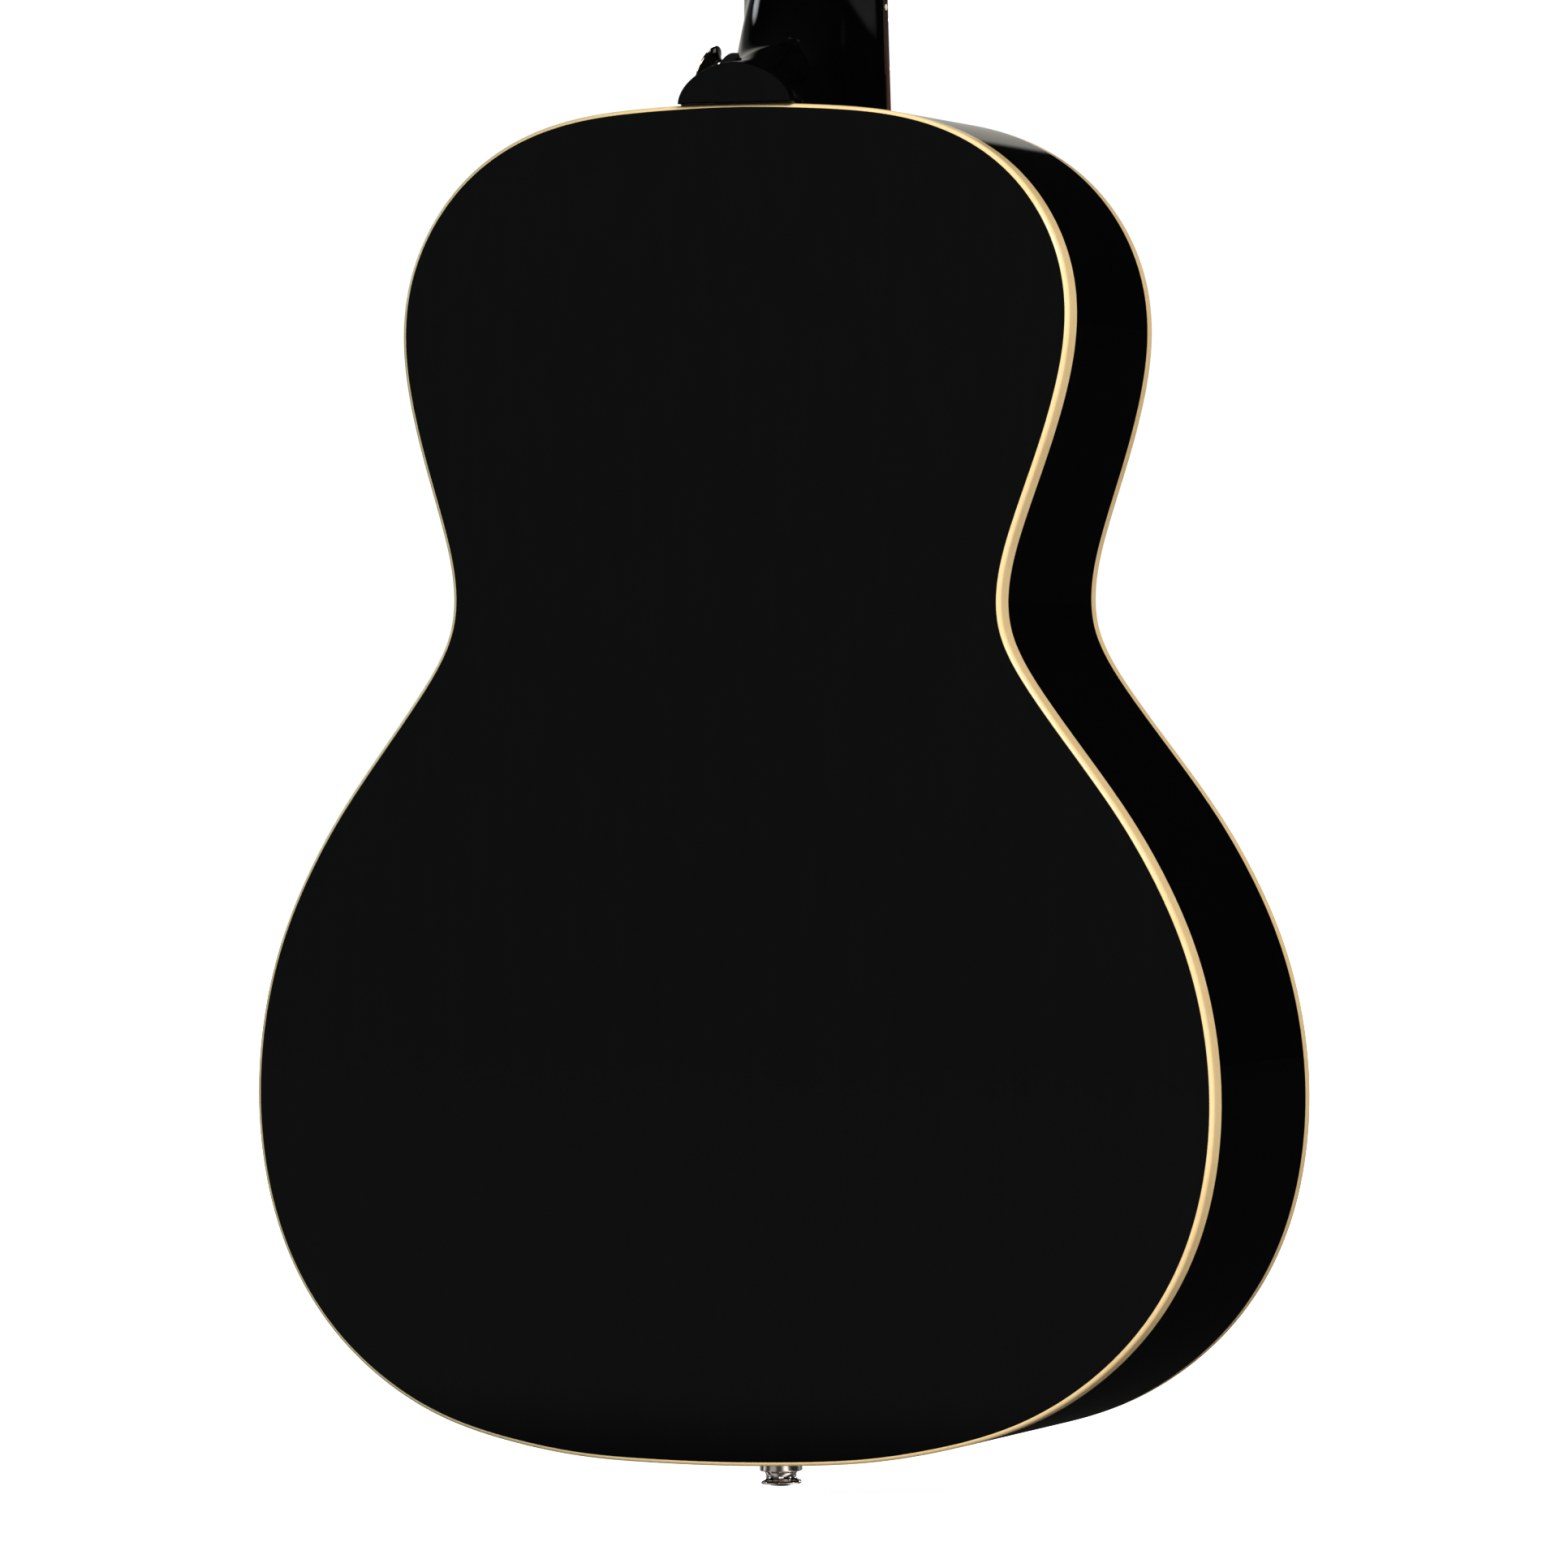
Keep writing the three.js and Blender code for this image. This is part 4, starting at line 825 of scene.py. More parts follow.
def shaft_rings():
    angles = np.linspace(0, math.pi, 49)
    rings = []
    for z in np.linspace(body_face(10) - 0.3, HEAD_Z + 3, 60):
        half = board_half(min(z, NUT_Z + 3))
        toward_joint = (NUT_Z - z) / (NUT_Z - JOINT_Z)
        depth = NECK_DEPTH_NUT + (NECK_DEPTH_JOINT - NECK_DEPTH_NUT) * toward_joint
        ring = xyz(np.cos(angles) * half, np.abs(np.sin(angles)) * depth, z)
        rings.append(np.concatenate([[[half, LET_IN_Y, z]], ring, [[-half, LET_IN_Y, z]]]))
    return rings


def heel_rings():
    """Half ellipses from the fretboard down to the heel's cap."""
    angles = np.linspace(0, math.pi, 65)
    cos, sin = np.cos(angles), np.sin(angles)
    rings = []
    for y in np.concatenate([[LET_IN_Y], np.linspace(0, HEEL_H, 56)]):
        depth = max(y, 0)
        face = body_face(depth)
        limit = board_half(face + 20) if depth < 6 else 99
        foot = float(smoothstep((depth - 30) / 40.0))
        power = 1 + 0.12 * foot
        half = np.minimum(np.abs(cos) ** power * float(heel_half(depth)), limit)
        x = half * np.sign(cos) - HEEL_SKEW * foot
        ring = xyz(x, y, face + 0.3 + sin ** power * float(heel_reach(depth)))
        rings.append(np.concatenate([[[x[0], y, face - 0.7]], ring, [[x[-1], y, face - 0.7]]]))
    return rings


def one_skin(piece, voxel=0.95, smooth_passes=3, fill_passes=140, finish_passes=6):
    """One closed skin over overlapping solids, smoothed, the hollow under the heel filled in."""
    mesh = piece.mesh("neck_solids", shift=0, unit=1)
    clean_mesh(mesh, merge=1e-4, degenerate=None)
    ob = link_object("neck_solids", mesh)
    remesh = ob.modifiers.new("remesh", "REMESH")
    remesh.mode, remesh.voxel_size, remesh.adaptivity = "VOXEL", voxel, 0.0
    skin = evaluated(ob)
    bpy.data.objects.remove(ob)
    points = np.zeros(len(skin.vertices) * 3)
    skin.vertices.foreach_get("co", points)
    points = points.reshape(-1, 3)
    edges = np.zeros(len(skin.edges) * 2, int)
    skin.edges.foreach_get("vertices", edges)
    edges = edges.reshape(-1, 2)
    quads = np.array([tuple(face.vertices) for face in skin.polygons])
    count = len(points)
    here, there = edges.T.ravel(), edges[:, ::-1].T.ravel()
    neighbours = np.bincount(here, minlength=count).astype(float)[:, None]

    def pull(at):
        """From each vertex to the mean of its neighbours."""
        sums = [np.bincount(here, at[there, k], count) for k in range(3)]
        return np.stack(sums, 1) / neighbours - at

    def normals(at):
        face = np.cross(at[quads[:, 2]] - at[quads[:, 0]], at[quads[:, 3]] - at[quads[:, 1]])
        out = np.stack([sum(np.bincount(quads[:, corner], face[:, k], count)
                            for corner in range(4)) for k in range(3)], 1)
        return out / (np.linalg.norm(out, axis=1)[:, None] + 1e-12)

    # each pass shrinks, then swells, so that the size stays
    for _ in range(smooth_passes):
        for step in (0.55, -0.57):
            points = points + step * pull(points)
    # the inner corner between heel and shaft: hollows fill, the outer shape keeps its size
    y, z = points[:, 1], points[:, 2]
    weight = (smoothstep((z - JOINT_Z - 9) / 8) * smoothstep((JOINT_Z + 150 - z) / 40)
              * smoothstep((y - 3) / 6) * smoothstep((72 - y) / 8))[:, None]
    for _ in range(fill_passes):
        move = pull(points)
        outward = np.sum(move * normals(points), 1)[:, None]
        points = points + 0.6 * weight * np.where(outward > 0, move, 0.02 * move)
    for _ in range(finish_passes):
        for step in (0.55, -0.565):
            points = points + step * weight * pull(points)
    return points, quads.tolist()


Piece().add(*one_skin(Piece().loft(shaft_rings()).loft(heel_rings()))).make(
    "neck_shaft", "lacquer_neck", "black_lacquer", "neck", angle=55, merge=1e-7)

# columns: x, distance from the nut, corner radius
HEAD_CORNERS = [
    [-21.9, 0, 0], [21.9, 0, 0], [23.5, 6, 14], [31, 24, 12], [32, 30, 8], [35, 160, 7],
    [33.4, 167, 8], [26, 172, 14], [13, 175.2, 20], [0, 176.3, 60], [-13, 175.2, 20],
    [-26, 172, 14], [-33.4, 167, 8], [-35, 160, 7], [-32, 30, 8], [-31, 24, 12],
    [-23.5, 6, 14]]
HEAD_OUTLINE = subdivide(fillet(HEAD_CORNERS, steps=6), step=2.5)
VENEER_T = 1.2


def make_head_plate(name, front, rear, material, edge, blend_in=False):
    """A plate of the headstock; blended, its rear draws in to the round neck near the nut."""
    neck_round, blend_length = 16.6, 27.0
    angles = np.linspace(0, QUARTER, 5)
    section = [(edge * (1 - math.cos(a)), front + edge * (1 - math.sin(a))) for a in angles[::-1]]
    if blend_in:
        section += [(0.0, front + edge + (rear - front - 2 * edge) * k / 8) for k in range(1, 8)]
    section += [(edge * (1 - math.cos(a)), rear - edge * (1 - math.sin(a))) for a in angles]
    inward, rings = inward_normals(HEAD_OUTLINE), []
    for inset, depth in section:
        ring = HEAD_OUTLINE + inward * inset
        if blend_in:
            narrow = 1 - math.sqrt(max(0.0, 1 - (max(depth, 0) / neck_round) ** 2))
            ring[:, 0] *= 1 - narrow * (1 - smoothstep((ring[:, 1] - 1.0) / blend_length))
        rings.append(on_head(ring, depth))
    Piece().loft(rings).make(name, material, "black_lacquer", angle=30)


def make_heel_cap():
    half, reach, power = 22.35, 14.7, 1.12
    angles, face = np.linspace(0, math.pi, 61), body_face(HEEL_H)
    arc = xyz(half * signed_power(np.cos(angles), power) - HEEL_SKEW,
              face + 0.2 + reach * np.sin(angles) ** power, 0)
    feet = [[x - HEEL_SKEW, face - 0.05, 0.3] for x in (-half, half)]
    Piece().slab(fillet(np.concatenate([arc, feet]), steps=3),
                 lambda outline, y: xyz(outline[:, 0], y, outline[:, 1]),
                 inner=HEEL_H - 0.1, outer=HEEL_H + 1.25, edge_radius=0.5).make(
        "heel_cap_plate", "lacquer_back", "black_lacquer", "heel_cap", angle=30)


make_head_plate("headstock_core", VENEER_T, HEAD_T, "lacquer_neck", edge=1.1, blend_in=True)
make_head_plate("headstock_veneer", 0.0, VENEER_T + 0.05, "lacquer_back", edge=0.45)
make_heel_cap()

# ------------------------------------------------------------------ end pin jack, heel button, felt
# turned profiles, columns: radius, distance along the axis, corner radius
JACK_AT, UP = (0, 53.3, 0), (0, 0, 1)
STRAP_NUT = [
    (4.35, -0.05, 0), (7.8, -0.05, 0), (7.8, -6.4, 0.35), (7.3, -6.7, 0.3), (5.9, -7.0, 0.7),
    (5.55, -7.9, 1.2), (5.6, -9.2, 1.2), (6.1, -9.9, 0.7), (7.2, -10.1, 0.35),
    (7.4, -10.7, 0.4), (7.1, -11.3, 0.4), (4.35, -11.3, 0)]
Piece().lathe(fillet(STRAP_NUT, steps=6), JACK_AT, UP, 96, closed=True).make(
    "jack_strap_nut_turned", "nickel_plate", "nickel", "jack_strap_nut")

barrel = [(0, 44), (5.9, 44), (5.9, 3.2), (4.15, 3.2), (4.15, -11.0)]
barrel += [(4.15 - 0.16 * (k % 2), -11.05 - 0.09 * k) for k in range(1, 8)]       # thread
barrel += [(3.85, -11.85), (3.6, -12.0), (3.35, -12.0), (3.2, -11.8), (3.2, 34), (0, 34)]
Piece().lathe(barrel, JACK_AT, UP, 72).make(
    "jack_barrel_turned", "nickel_plate", "nickel", "jack_barrel")

BUTTON_AT, BUTTON_AXIS = np.array([20.9, 27.5, 498.6]), np.array([0.9, 0, 0.437])
HEEL_BUTTON = [
    (0, -14, 0), (1.5, -14, 0), (1.7, 3.0, 0), (1.7, 5.0, 0), (4.6, 5.0, 0.2),
    (4.3, 5.7, 0.5), (3.9, 6.7, 1.2), (4.6, 8.5, 2), (6.2, 9.9, 2), (7.7, 10.6, 0.8),
    (8.0, 11.15, 0.5), (7.7, 11.75, 0.6), (6.4, 12.3, 2), (3.6, 12.95, 4), (0, 13.1, 0)]
Piece().lathe(fillet(HEEL_BUTTON, 6, closed=False), BUTTON_AT, BUTTON_AXIS, 96).make(
    "heel_button_turned", "nickel_plate", "nickel", "heel_strap_button")

# the felt leans: its inner end slides along the heel's flank, its outer end stays at the button
FELT_T, FELT_LEAN = 4.95, 2.2
felt = fillet([(2.0, 0.0, 0), (8.05, 0.0, 0.3), (8.05, FELT_T, 0.9), (2.0, FELT_T, 0)], 6)
slide = ((FELT_T - felt[:, 1]) / FELT_T * FELT_LEAN)[:, None, None] * np.array([-0.437, 0, 0.9])
Piece().grid(lathe_rings(felt, BUTTON_AT, BUTTON_AXIS, 80) + slide, wrap_rows=True,
             wrap_ring=True).make("felt_washer", "felt_black", "felt", "strap_button_washer")


# ------------------------------------------------------------------ fretboard, frets, dots, nut
def make_fretboard():
    edge, under = 0.45, -0.02
    across = np.linspace(-1, 1, 25)
    rings = []
    for z in np.linspace(BOARD_END_Z, NUT_Z - 0.02, 160):
        half = board_half(z)
        side_y = float(board_y(half))
        corner = [(half, under), (half, side_y + edge), (half - 0.3 * edge, side_y + 0.3 * edge)]
        top = [(x, float(board_y(x))) for x in across * (half - edge)]
        section = [(-x, y) for x, y in corner] + top + corner[::-1]
        rings.append([[x, y, z] for x, y in section])
    Piece().loft(rings).make("fretboard_wood", "rosewood", "rosewood", "fretboard", angle=35)


def make_frets():
    half_width, sink = 1.15, 0.15
    # from each end: distance and share of the full height
    ends = np.array([(0, 0.02), (0.25, 0.45), (0.7, 0.85), (1.3, 1.0)])
    angles = np.linspace(0, math.pi, 13)
    piece = Piece()
    for k in range(FRETS, 0, -1):
        half = board_half(fret_z(k)) - 0.15
        spans = np.concatenate([-half + ends[:, 0], np.linspace(-half + 2.5, half - 2.5, 17),
                                half - ends[::-1, 0]])
        heights = np.concatenate([ends[:, 1], np.ones(17), ends[::-1, 1]])
        rings = []
        for x, height in zip(spans, heights):
            base = float(board_y(x))
            y = base - FRET_H * height * np.sin(angles)
            y[[0, -1]] = base + sink
            rings.append(xyz(x, y, fret_z(k) + half_width * np.cos(angles)))
        piece.loft(rings)
    piece.make("frets", "nickel_silver", "steel", angle=50)


def make_dots():
    # fret behind which each dot lies; the 12th has a pair
    frets = [3, 5, 7, 9, 12, 12, 15, 17]
    middles = [(fret_z(k) + fret_z(k - 1)) / 2 for k in frets]
    face, side = Piece(), Piece()
    for z, x in zip(middles, [0, 0, 0, 0, 8.5, -8.5, 0, 0]):
        face.lathe([(0, -0.03), (2.95, -0.025), (3.1, 0.0), (3.1, 0.3), (0, 0.3)],
                   (x, float(board_y(x)), z), (0, 1, 0), 40)
    face.make("face_dots", "bone", "bone")
    for middle, offset in zip(middles, [0, 0, 0, 0, 4.0, -4.0, 0, 0]):
        z = middle + offset
        side.lathe([(0, 0.03), (1.1, 0.025), (1.22, 0.0), (1.22, -0.3), (0, -0.3)],
                   (-board_half(z), -2.3, z), (-1, 0, 0), 28)
    side.make("side_dots", "bone", "bone")


def make_nut():
    section = [(-21.7, 0.0), (-21.7, -6.0), (-21.2, -6.9)]
    for gauge, x in zip(GAUGES, NUT_X):
        wide = gauge / 2 + 0.04
        rest = float(string_y(x, NUT_Z))
        brow, floor = rest - 0.75, rest + gauge / 2 - 0.02
        section += [(x - wide - 0.25, brow), (x - wide, floor - wide * 0.8),
                    (x - wide * 0.7, floor - 0.05), (x, floor), (x + wide * 0.7, floor - 0.05),
                    (x + wide, floor - wide * 0.8), (x + wide + 0.25, brow)]
    section += [(21.2, -6.9), (21.7, -6.0), (21.7, 0.0)]
    x, y = np.array(section).T
    lowering = np.where(y == 0, 0, np.where(np.abs(y) > 6.2, 0.9, 0.3))
    # columns: distance above the nut line, how far the top is lowered there
    stations = [(0, 0.35), (0.35, 0.0), (3.0, 0.0), (4.6, 0.55), (5.2, 1.15)]
    Piece().loft([xyz(x, y + amount * lowering, NUT_Z + up) for up, amount in stations]).make(
        "nut_slotted", "bone", "bone", "nut", angle=35)


make_fretboard()
make_frets()
make_dots()
make_nut()


# ------------------------------------------------------------------ bridge, saddle, pins
def make_bridge():
    corner = 1.4
    angles = np.linspace(0, QUARTER, 6)
    ends = np.array([78, 77.7, 77.2, 76.5, 75.5])
    rings = []
    for x in np.concatenate([-ends, np.linspace(-74, 74, 75), ends[::-1]]):
        fall = 1 - math.sqrt(max(0.0, 1 - max(0, (abs(x) - 75.5) / 2.5) ** 2))
        inset = fall * 2.4 + 1.2 * smoothstep((abs(x) - 60) / 18)
        low, high = BRIDGE_Z0 + inset, BRIDGE_Z1 - inset
        top = -8.6 + 3.4 * smoothstep((abs(x) - 50) / 16) + fall * 1.6

        def foot(z):
            return float(-dome(x, z)) + 0.02, z
        rounding = [(top + corner * (1 - math.sin(t)), corner * (1 - math.cos(t)))
                    for t in angles]
        section = [foot(low)] + [(y, low + z) for y, z in rounding]
        section += [(top, z) for z in np.linspace(low + corner + 1, high - corner - 1, 8)]
        section += [(y, high - z) for y, z in rounding[::-1]] + [foot(high)]
        section += [foot(z) for z in np.linspace(high - 2, low + 2, 4)]
        rings.append([[x, y, z] for y, z in section])
    return Piece().loft(rings).make("bridge_wood", "rosewood", "rosewood", "bridge", angle=32)


def bore(ob, cutter):
    """Cuts the cutter's closed shapes out of a piece's mesh."""
    mesh = cutter.mesh("cutter")
    clean_mesh(mesh, merge=1e-6)
    tool = link_object("cutter", mesh)
    cut = ob.modifiers.new("bore", "BOOLEAN")
    cut.operation, cut.solver, cut.object = "DIFFERENCE", "EXACT", tool
    result = evaluated(ob, preserve_all_data_layers=True,
                       depsgraph=bpy.context.evaluated_depsgraph_get())
    ob.modifiers.clear()
    ob.data = result
    bpy.data.objects.remove(tool)
    bpy.data.meshes.remove(mesh)
    shade(result, 32)


def make_saddle():
    half_width, crown = 1.32, 1.1
    cos, sin = math.cos(SADDLE_TILT), math.sin(SADDLE_TILT)
    angles = np.linspace(0.0, math.pi, 9)
    ends = np.array([36, 35.9, 35.4, 34.6])
    rings = []
    for x in np.concatenate([-ends, np.linspace(-33, 33, 45), ends[::-1]]):
        top = (float(string_y(x, SADDLE_Z)) + SADDLE_SINK
               + max(0, (abs(x) - 33.5) / 2.5) ** 2 * 1.6)
        section = [(-half_width, -5.5)]
        section += [(-half_width * math.cos(t), top + crown * (1 - math.sin(t))) for t in angles]
        section += [(half_width, -5.5)]
        rings.append([[x * cos + across * sin, y, SADDLE_Z - x * sin + across * cos]
                      for across, y in section])
    Piece().loft(rings).make("saddle_bone", "bone", "bone", "saddle")


# profiles about the pins' axis; distances run towards the back
PIN_HOLE = [(0, 0), (2.62, 0), (2.62, -8.3), (3.0, -8.7), (3.0, -10), (0, -10)]   # countersunk
PIN = [(0, 14, 0), (1.9, 14, 0.4), (2.5, -8.4, 0.3), (3.0, -8.55, 0.2), (3.7, -8.75, 0.3),
       (3.95, -9.6, 1), (3.9, -10.8, 1), (3.4, -12.0, 1), (2.4, -12.9, 1), (1.3, -13.35, 1),
       (0, -13.5, 0)]
PIN_DOT = [(0, -13.62), (0.9, -13.6), (1.15, -13.5), (1.15, -13.0), (0, -13.0)]

bridge, holes = make_bridge(), Piece()
for x in PIN_X:
    holes.lathe(PIN_HOLE, (x, 0, PIN_Z), (0, 1, 0), 40)
bore(bridge, holes)
make_saddle()
for k, x in enumerate(PIN_X):
    number, at = 6 - k, (x, 0, PIN_Z)
    pin = f"bridge_pin_{number}"
    Piece().lathe(fillet(PIN, 4, closed=False), at, (0, 1, 0), 48).make(
        f"pin_{number}_turned", "pin_cream", "pin_plastic", pin, body=pin)
    Piece().lathe(PIN_DOT, at, (0, 1, 0), 28).make(
        f"pin_{number}_dot", "pin_dot", "pin_plastic", body=pin)

# ------------------------------------------------------------------ pickguard, truss rod cover
tortoise()
GUARD_R = 63                                     # its edge round the hole
GUARD_EDGE = [[72, 312], [80, 292], [84, 262], [80, 238], [70, 224], [54, 222], [40, 232],
              [26, 254], [13, 272]]              # x, z
guard_arc = np.radians(np.linspace(-80, -22, 30))
guard = np.concatenate([
    np.stack([GUARD_R * np.cos(guard_arc), HOLE_Z + GUARD_R * np.sin(guard_arc)], 1),
    smooth_path(GUARD_EDGE, per_span=8)])
Piece().slab(guard, lambda outline, y: xyz(outline[:, 0], y - dome(*outline.T), outline[:, 1]),
             inner=-0.02, outer=-1.3, edge_radius=0.7).make(
    "pickguard_sheet", "tortoise", "tortoise", "pickguard", angle=30)

# columns: x, distance from the nut, corner radius
ROD_COVER = [[-9, 4, 1.5], [9, 4, 1.5], [11.5, 12, 5], [9, 26, 8], [4, 36, 4], [0, 38, 4],
             [-4, 36, 4], [-9, 26, 8], [-11.5, 12, 5]]
Piece().slab(fillet(ROD_COVER, 6), on_head, inner=-0.02, outer=-1.9, edge_radius=0.7).make(
    "rod_cover_plate", "cover_black", "cover_black", "truss_rod_cover", angle=30)
screws = Piece()
for x, z in ((-6.2, 8.5), (6.2, 8.5), (0, 33.5)):
    screws.screw_head(to_head([x, -1.85, z]), -HEAD_BACK, radius=1.6, height=0.7)
screws.make("rod_cover_screws", "nickel_plate", "nickel", angle=35)

# ------------------------------------------------------------------ strings
POST_R, COIL_Y, COIL_TURNS, COIL_STEPS = 3.02, -9.6, 2.6, 96


def straight(start, end, count):
    start, end = np.asarray(start, float), np.asarray(end, float)
    return start + (end - start) * np.linspace(0, 1, count, endpoint=False)[:, None]


def string_path(k):
    """From under the bridge, over the saddle and nut, to a coil round the tuner's post."""
    radius, x_nut, x_pin = GAUGES[k] / 2, NUT_X[k], PIN_X[k]
    side, post_z = TUNERS[k]
    post_x, coil_r = side * TUNER_X, POST_R + radius
    anchor = [[x_pin, y, PIN_Z + up] for y, up in (
        (8.6, 4.4), (2, 4.4), (-6.6, 4.5), (-8.75 - radius, 5.6), (-9.1 - radius, 7.0))]
    leave = [x_pin, -9.2 - radius, PIN_Z + 7.4]
    saddle = [x_pin, float(string_y(x_pin, SADDLE_Z)) + SADDLE_SINK - radius, SADDLE_Z]
    nut_y = float(string_y(x_nut, NUT_Z))
    nut, nut_end = [x_nut, nut_y - 0.02, NUT_Z + 1.0], [x_nut, nut_y + 0.25, NUT_Z + 5.2]
    # it meets the post at a tangent, on the side towards the centre line
    entry = to_head([post_x - side * coil_r, COIL_Y, post_z - 0.5])
    climb = COIL_TURNS * (2.05 * radius + 0.05)

    def round_post(share, reach, down=0.0):
        angle = share * COIL_TURNS * 2 * math.pi
        return to_head(xyz(post_x - side * reach * np.cos(angle),
                           COIL_Y + share * climb + down, post_z + reach * np.sin(angle)))
    path = np.concatenate([
        smooth_path(anchor, per_span=6), straight(leave, saddle, 4), straight(saddle, nut, 60),
        straight(nut, nut_end, 3), straight(nut_end, entry, 14),
        round_post(np.arange(COIL_STEPS + 1) / COIL_STEPS, coil_r),
        [round_post(1, 0.2, down=0.2)]])         # the cut end goes into the post
    steps = np.linalg.norm(np.diff(path, axis=0), axis=1)
    return path[np.concatenate([[True], steps > 0.02])]


for k, gauge in enumerate(GAUGES):
    number = 6 - k
    material, slot, segments = "plain_steel", "steel", 8
    if k < WOUND_STRINGS:
        material, slot, segments = f"bronze_wound_{number}", "bronze_wound", 10
        wound_bronze(material, gauge)
    Piece().tube(string_path(k), gauge / 2, segments).make(
        f"string_{number}_wire", material, slot, f"string_{number}", angle=70)

# ------------------------------------------------------------------ tuning machines
# turned profiles, columns: radius, distance along the axis, corner radius
BUSHING = [(3.1, -0.3, 0), (5.2, -0.3, 0), (5.2, 0.9, 0.3), (4.6, 1.5, 0.4), (3.1, 1.5, 0.2)]
KEY_SHAFT = [
    (0, -7.4, 0), (1.2, -7.4, 0.2), (1.5, -7.1, 0.2), (1.5, 6.9, 0.1), (2.8, 7.2, 0.3),
    (2.8, 8.6, 0.4), (2.2, 9.4, 1), (1.9, 10.6, 1), (1.8, 13.5, 2), (2.3, 15.0, 1),
    (2.9, 15.6, 0.4), (2.9, 16.6, 0.4), (0, 17.2, 0)]
POST = [
    (0, -17.6, 0), (2.2, -17.6, 0.6), (3.0, -17.0, 0.6), (3.0, -12.4, 0.5), (2.75, -11.6, 0.6),
    (2.7, -10.0, 1), (2.75, -8.4, 0.6), (3.0, -7.6, 0.5), (3.0, 17.9, 0), (0, 17.9, 0)]
GEAR_CAP = [(0, 18.5, 0), (3.3, 18.5, 0), (3.3, 21.2, 0.3), (2.9, 21.8, 0.4), (1.2, 22.0, 0.2),
            (1.0, 21.5, 0.1), (0, 21.5, 0)]
# one gear tooth, columns: radius, half width; and the gear's edge: depth, size
GEAR_TEETH = 14
TOOTH = [(4.25, 0.56), (4.7, 0.42), (5.2, 0.30), (5.5, 0.20)]
GEAR_EDGE = [(17.5, 0.94), (17.8, 1.0), (20.2, 1.0), (20.5, 0.94)]
WORM_PITCH, WORM_TURNS = 2 * math.pi * 5.0 / GEAR_TEETH, 2.4


def make_tuner_strip(name, side):
    center = side * TUNER_X
    left, right, low, high = center - 7.2, center + 7.2, TUNER_Z[0] - 17, TUNER_Z[2] + 13
    outline = fillet([[x, z, 3.2] for x, z in ((left, low), (right, low), (right, high),
                                               (left, high))])
    piece = Piece().slab(outline, on_head, HEAD_T - 0.02, HEAD_T + 1.25, 0.4, steps=4)
    for z in TUNER_Z:
        for offset in (-5.7, 5.7):
            # an ear that carries the worm shaft, its top rounded; columns: z, depth, radius
            z0, z1 = z - KEY_DROP - 3.1, z - KEY_DROP + 3.1
            ear = fillet([[z0, HEAD_T + 0.6, 0], [z1, HEAD_T + 0.6, 0],
                          [z1, 22.0, 2.6], [z0, 22.0, 2.6]], 6)
            middle, rings = ear.mean(0), []
            for across, inset in ((-0.6, 0.25), (-0.35, 0.0), (0.35, 0.0), (0.6, 0.25)):
                ring = middle + (ear - middle) * (1 - inset / 4)
                rings.append(to_head(xyz(center + offset + across, ring[:, 1], ring[:, 0])))
            piece.loft(rings)
    piece.make(f"tuner_strip_{name}", "nickel_plate", "nickel", f"tuner_plate_{name}", angle=35)
    screws = Piece()
    between = [(TUNER_Z[i] + TUNER_Z[i + 1]) / 2 + 2 for i in (0, 1)]
    for z in [TUNER_Z[0] - 14.6, *between, TUNER_Z[2] + 10.6]:
        screws.screw_head(to_head([center, HEAD_T + 1.2, z]), HEAD_BACK, radius=1.75, height=0.9)
    screws.make(f"tuner_screws_{name}", "nickel_plate", "nickel", angle=35)
    bushings = Piece()
    for z in TUNER_Z:
        bushings.lathe(fillet(BUSHING, 4), to_head([center, 0, z]), -HEAD_BACK, 56, closed=True)
    bushings.make(f"post_bushings_{name}", "nickel_plate", "nickel")


def make_key(number, side, key_z):
    """The shaft with its collar and worm thread, and the cream button."""
    key = f"tuner_key_{number}"
    center = np.array([side * TUNER_X, KEY_Y, key_z])
    piece = Piece().lathe(fillet(KEY_SHAFT, 4, closed=False), to_head(center), (side, 0, 0), 48)
    t = np.linspace(0, 1, 97)[:, None]
    angle = (t - 0.5) * WORM_TURNS * 2 * math.pi + (math.pi if side < 0 else 0)
    ease = np.minimum(1, np.minimum(t, 1 - t) / 0.06)      # the thread fades in and out
    axial, crest = np.array([-0.5, -0.24, 0.24, 0.5]), np.array([0, 1, 1, 0])
    radius = 1.3 + crest * (0.2 + 1.25 * ease)
    worm = xyz((t - 0.5) * WORM_TURNS * WORM_PITCH + axial, radius * np.sin(angle),
               -radius * np.cos(angle))
    piece.loft(to_head(worm * [side, 1, side] + center))
    piece.make(f"key_{number}_shaft", "nickel_plate", "nickel", key, body=key)
    # a pressed oval, narrowed towards its shaft
    along = np.linspace(-1, 1, 25)[:, None]
    turn = circle(48)
    swell = np.maximum(0.0, 1 - np.abs(along) ** 2.6) ** (1 / 2.2)
    waist = 0.30 + 0.70 * smoothstep((along + 1) / 0.75)
    button = xyz(side * (24 + 7.6 * along),
                 3.3 * swell * signed_power(np.cos(turn), 0.75) * (0.72 + 0.28 * waist),
                 9.5 * swell * signed_power(np.sin(turn), 0.9) * waist * (1 - 0.10 * along))
    Piece().grid(to_head(center + button), wrap_ring=True).make(
        f"key_{number}_button", "tuner_cream", "nickel", body=key, angle=50)


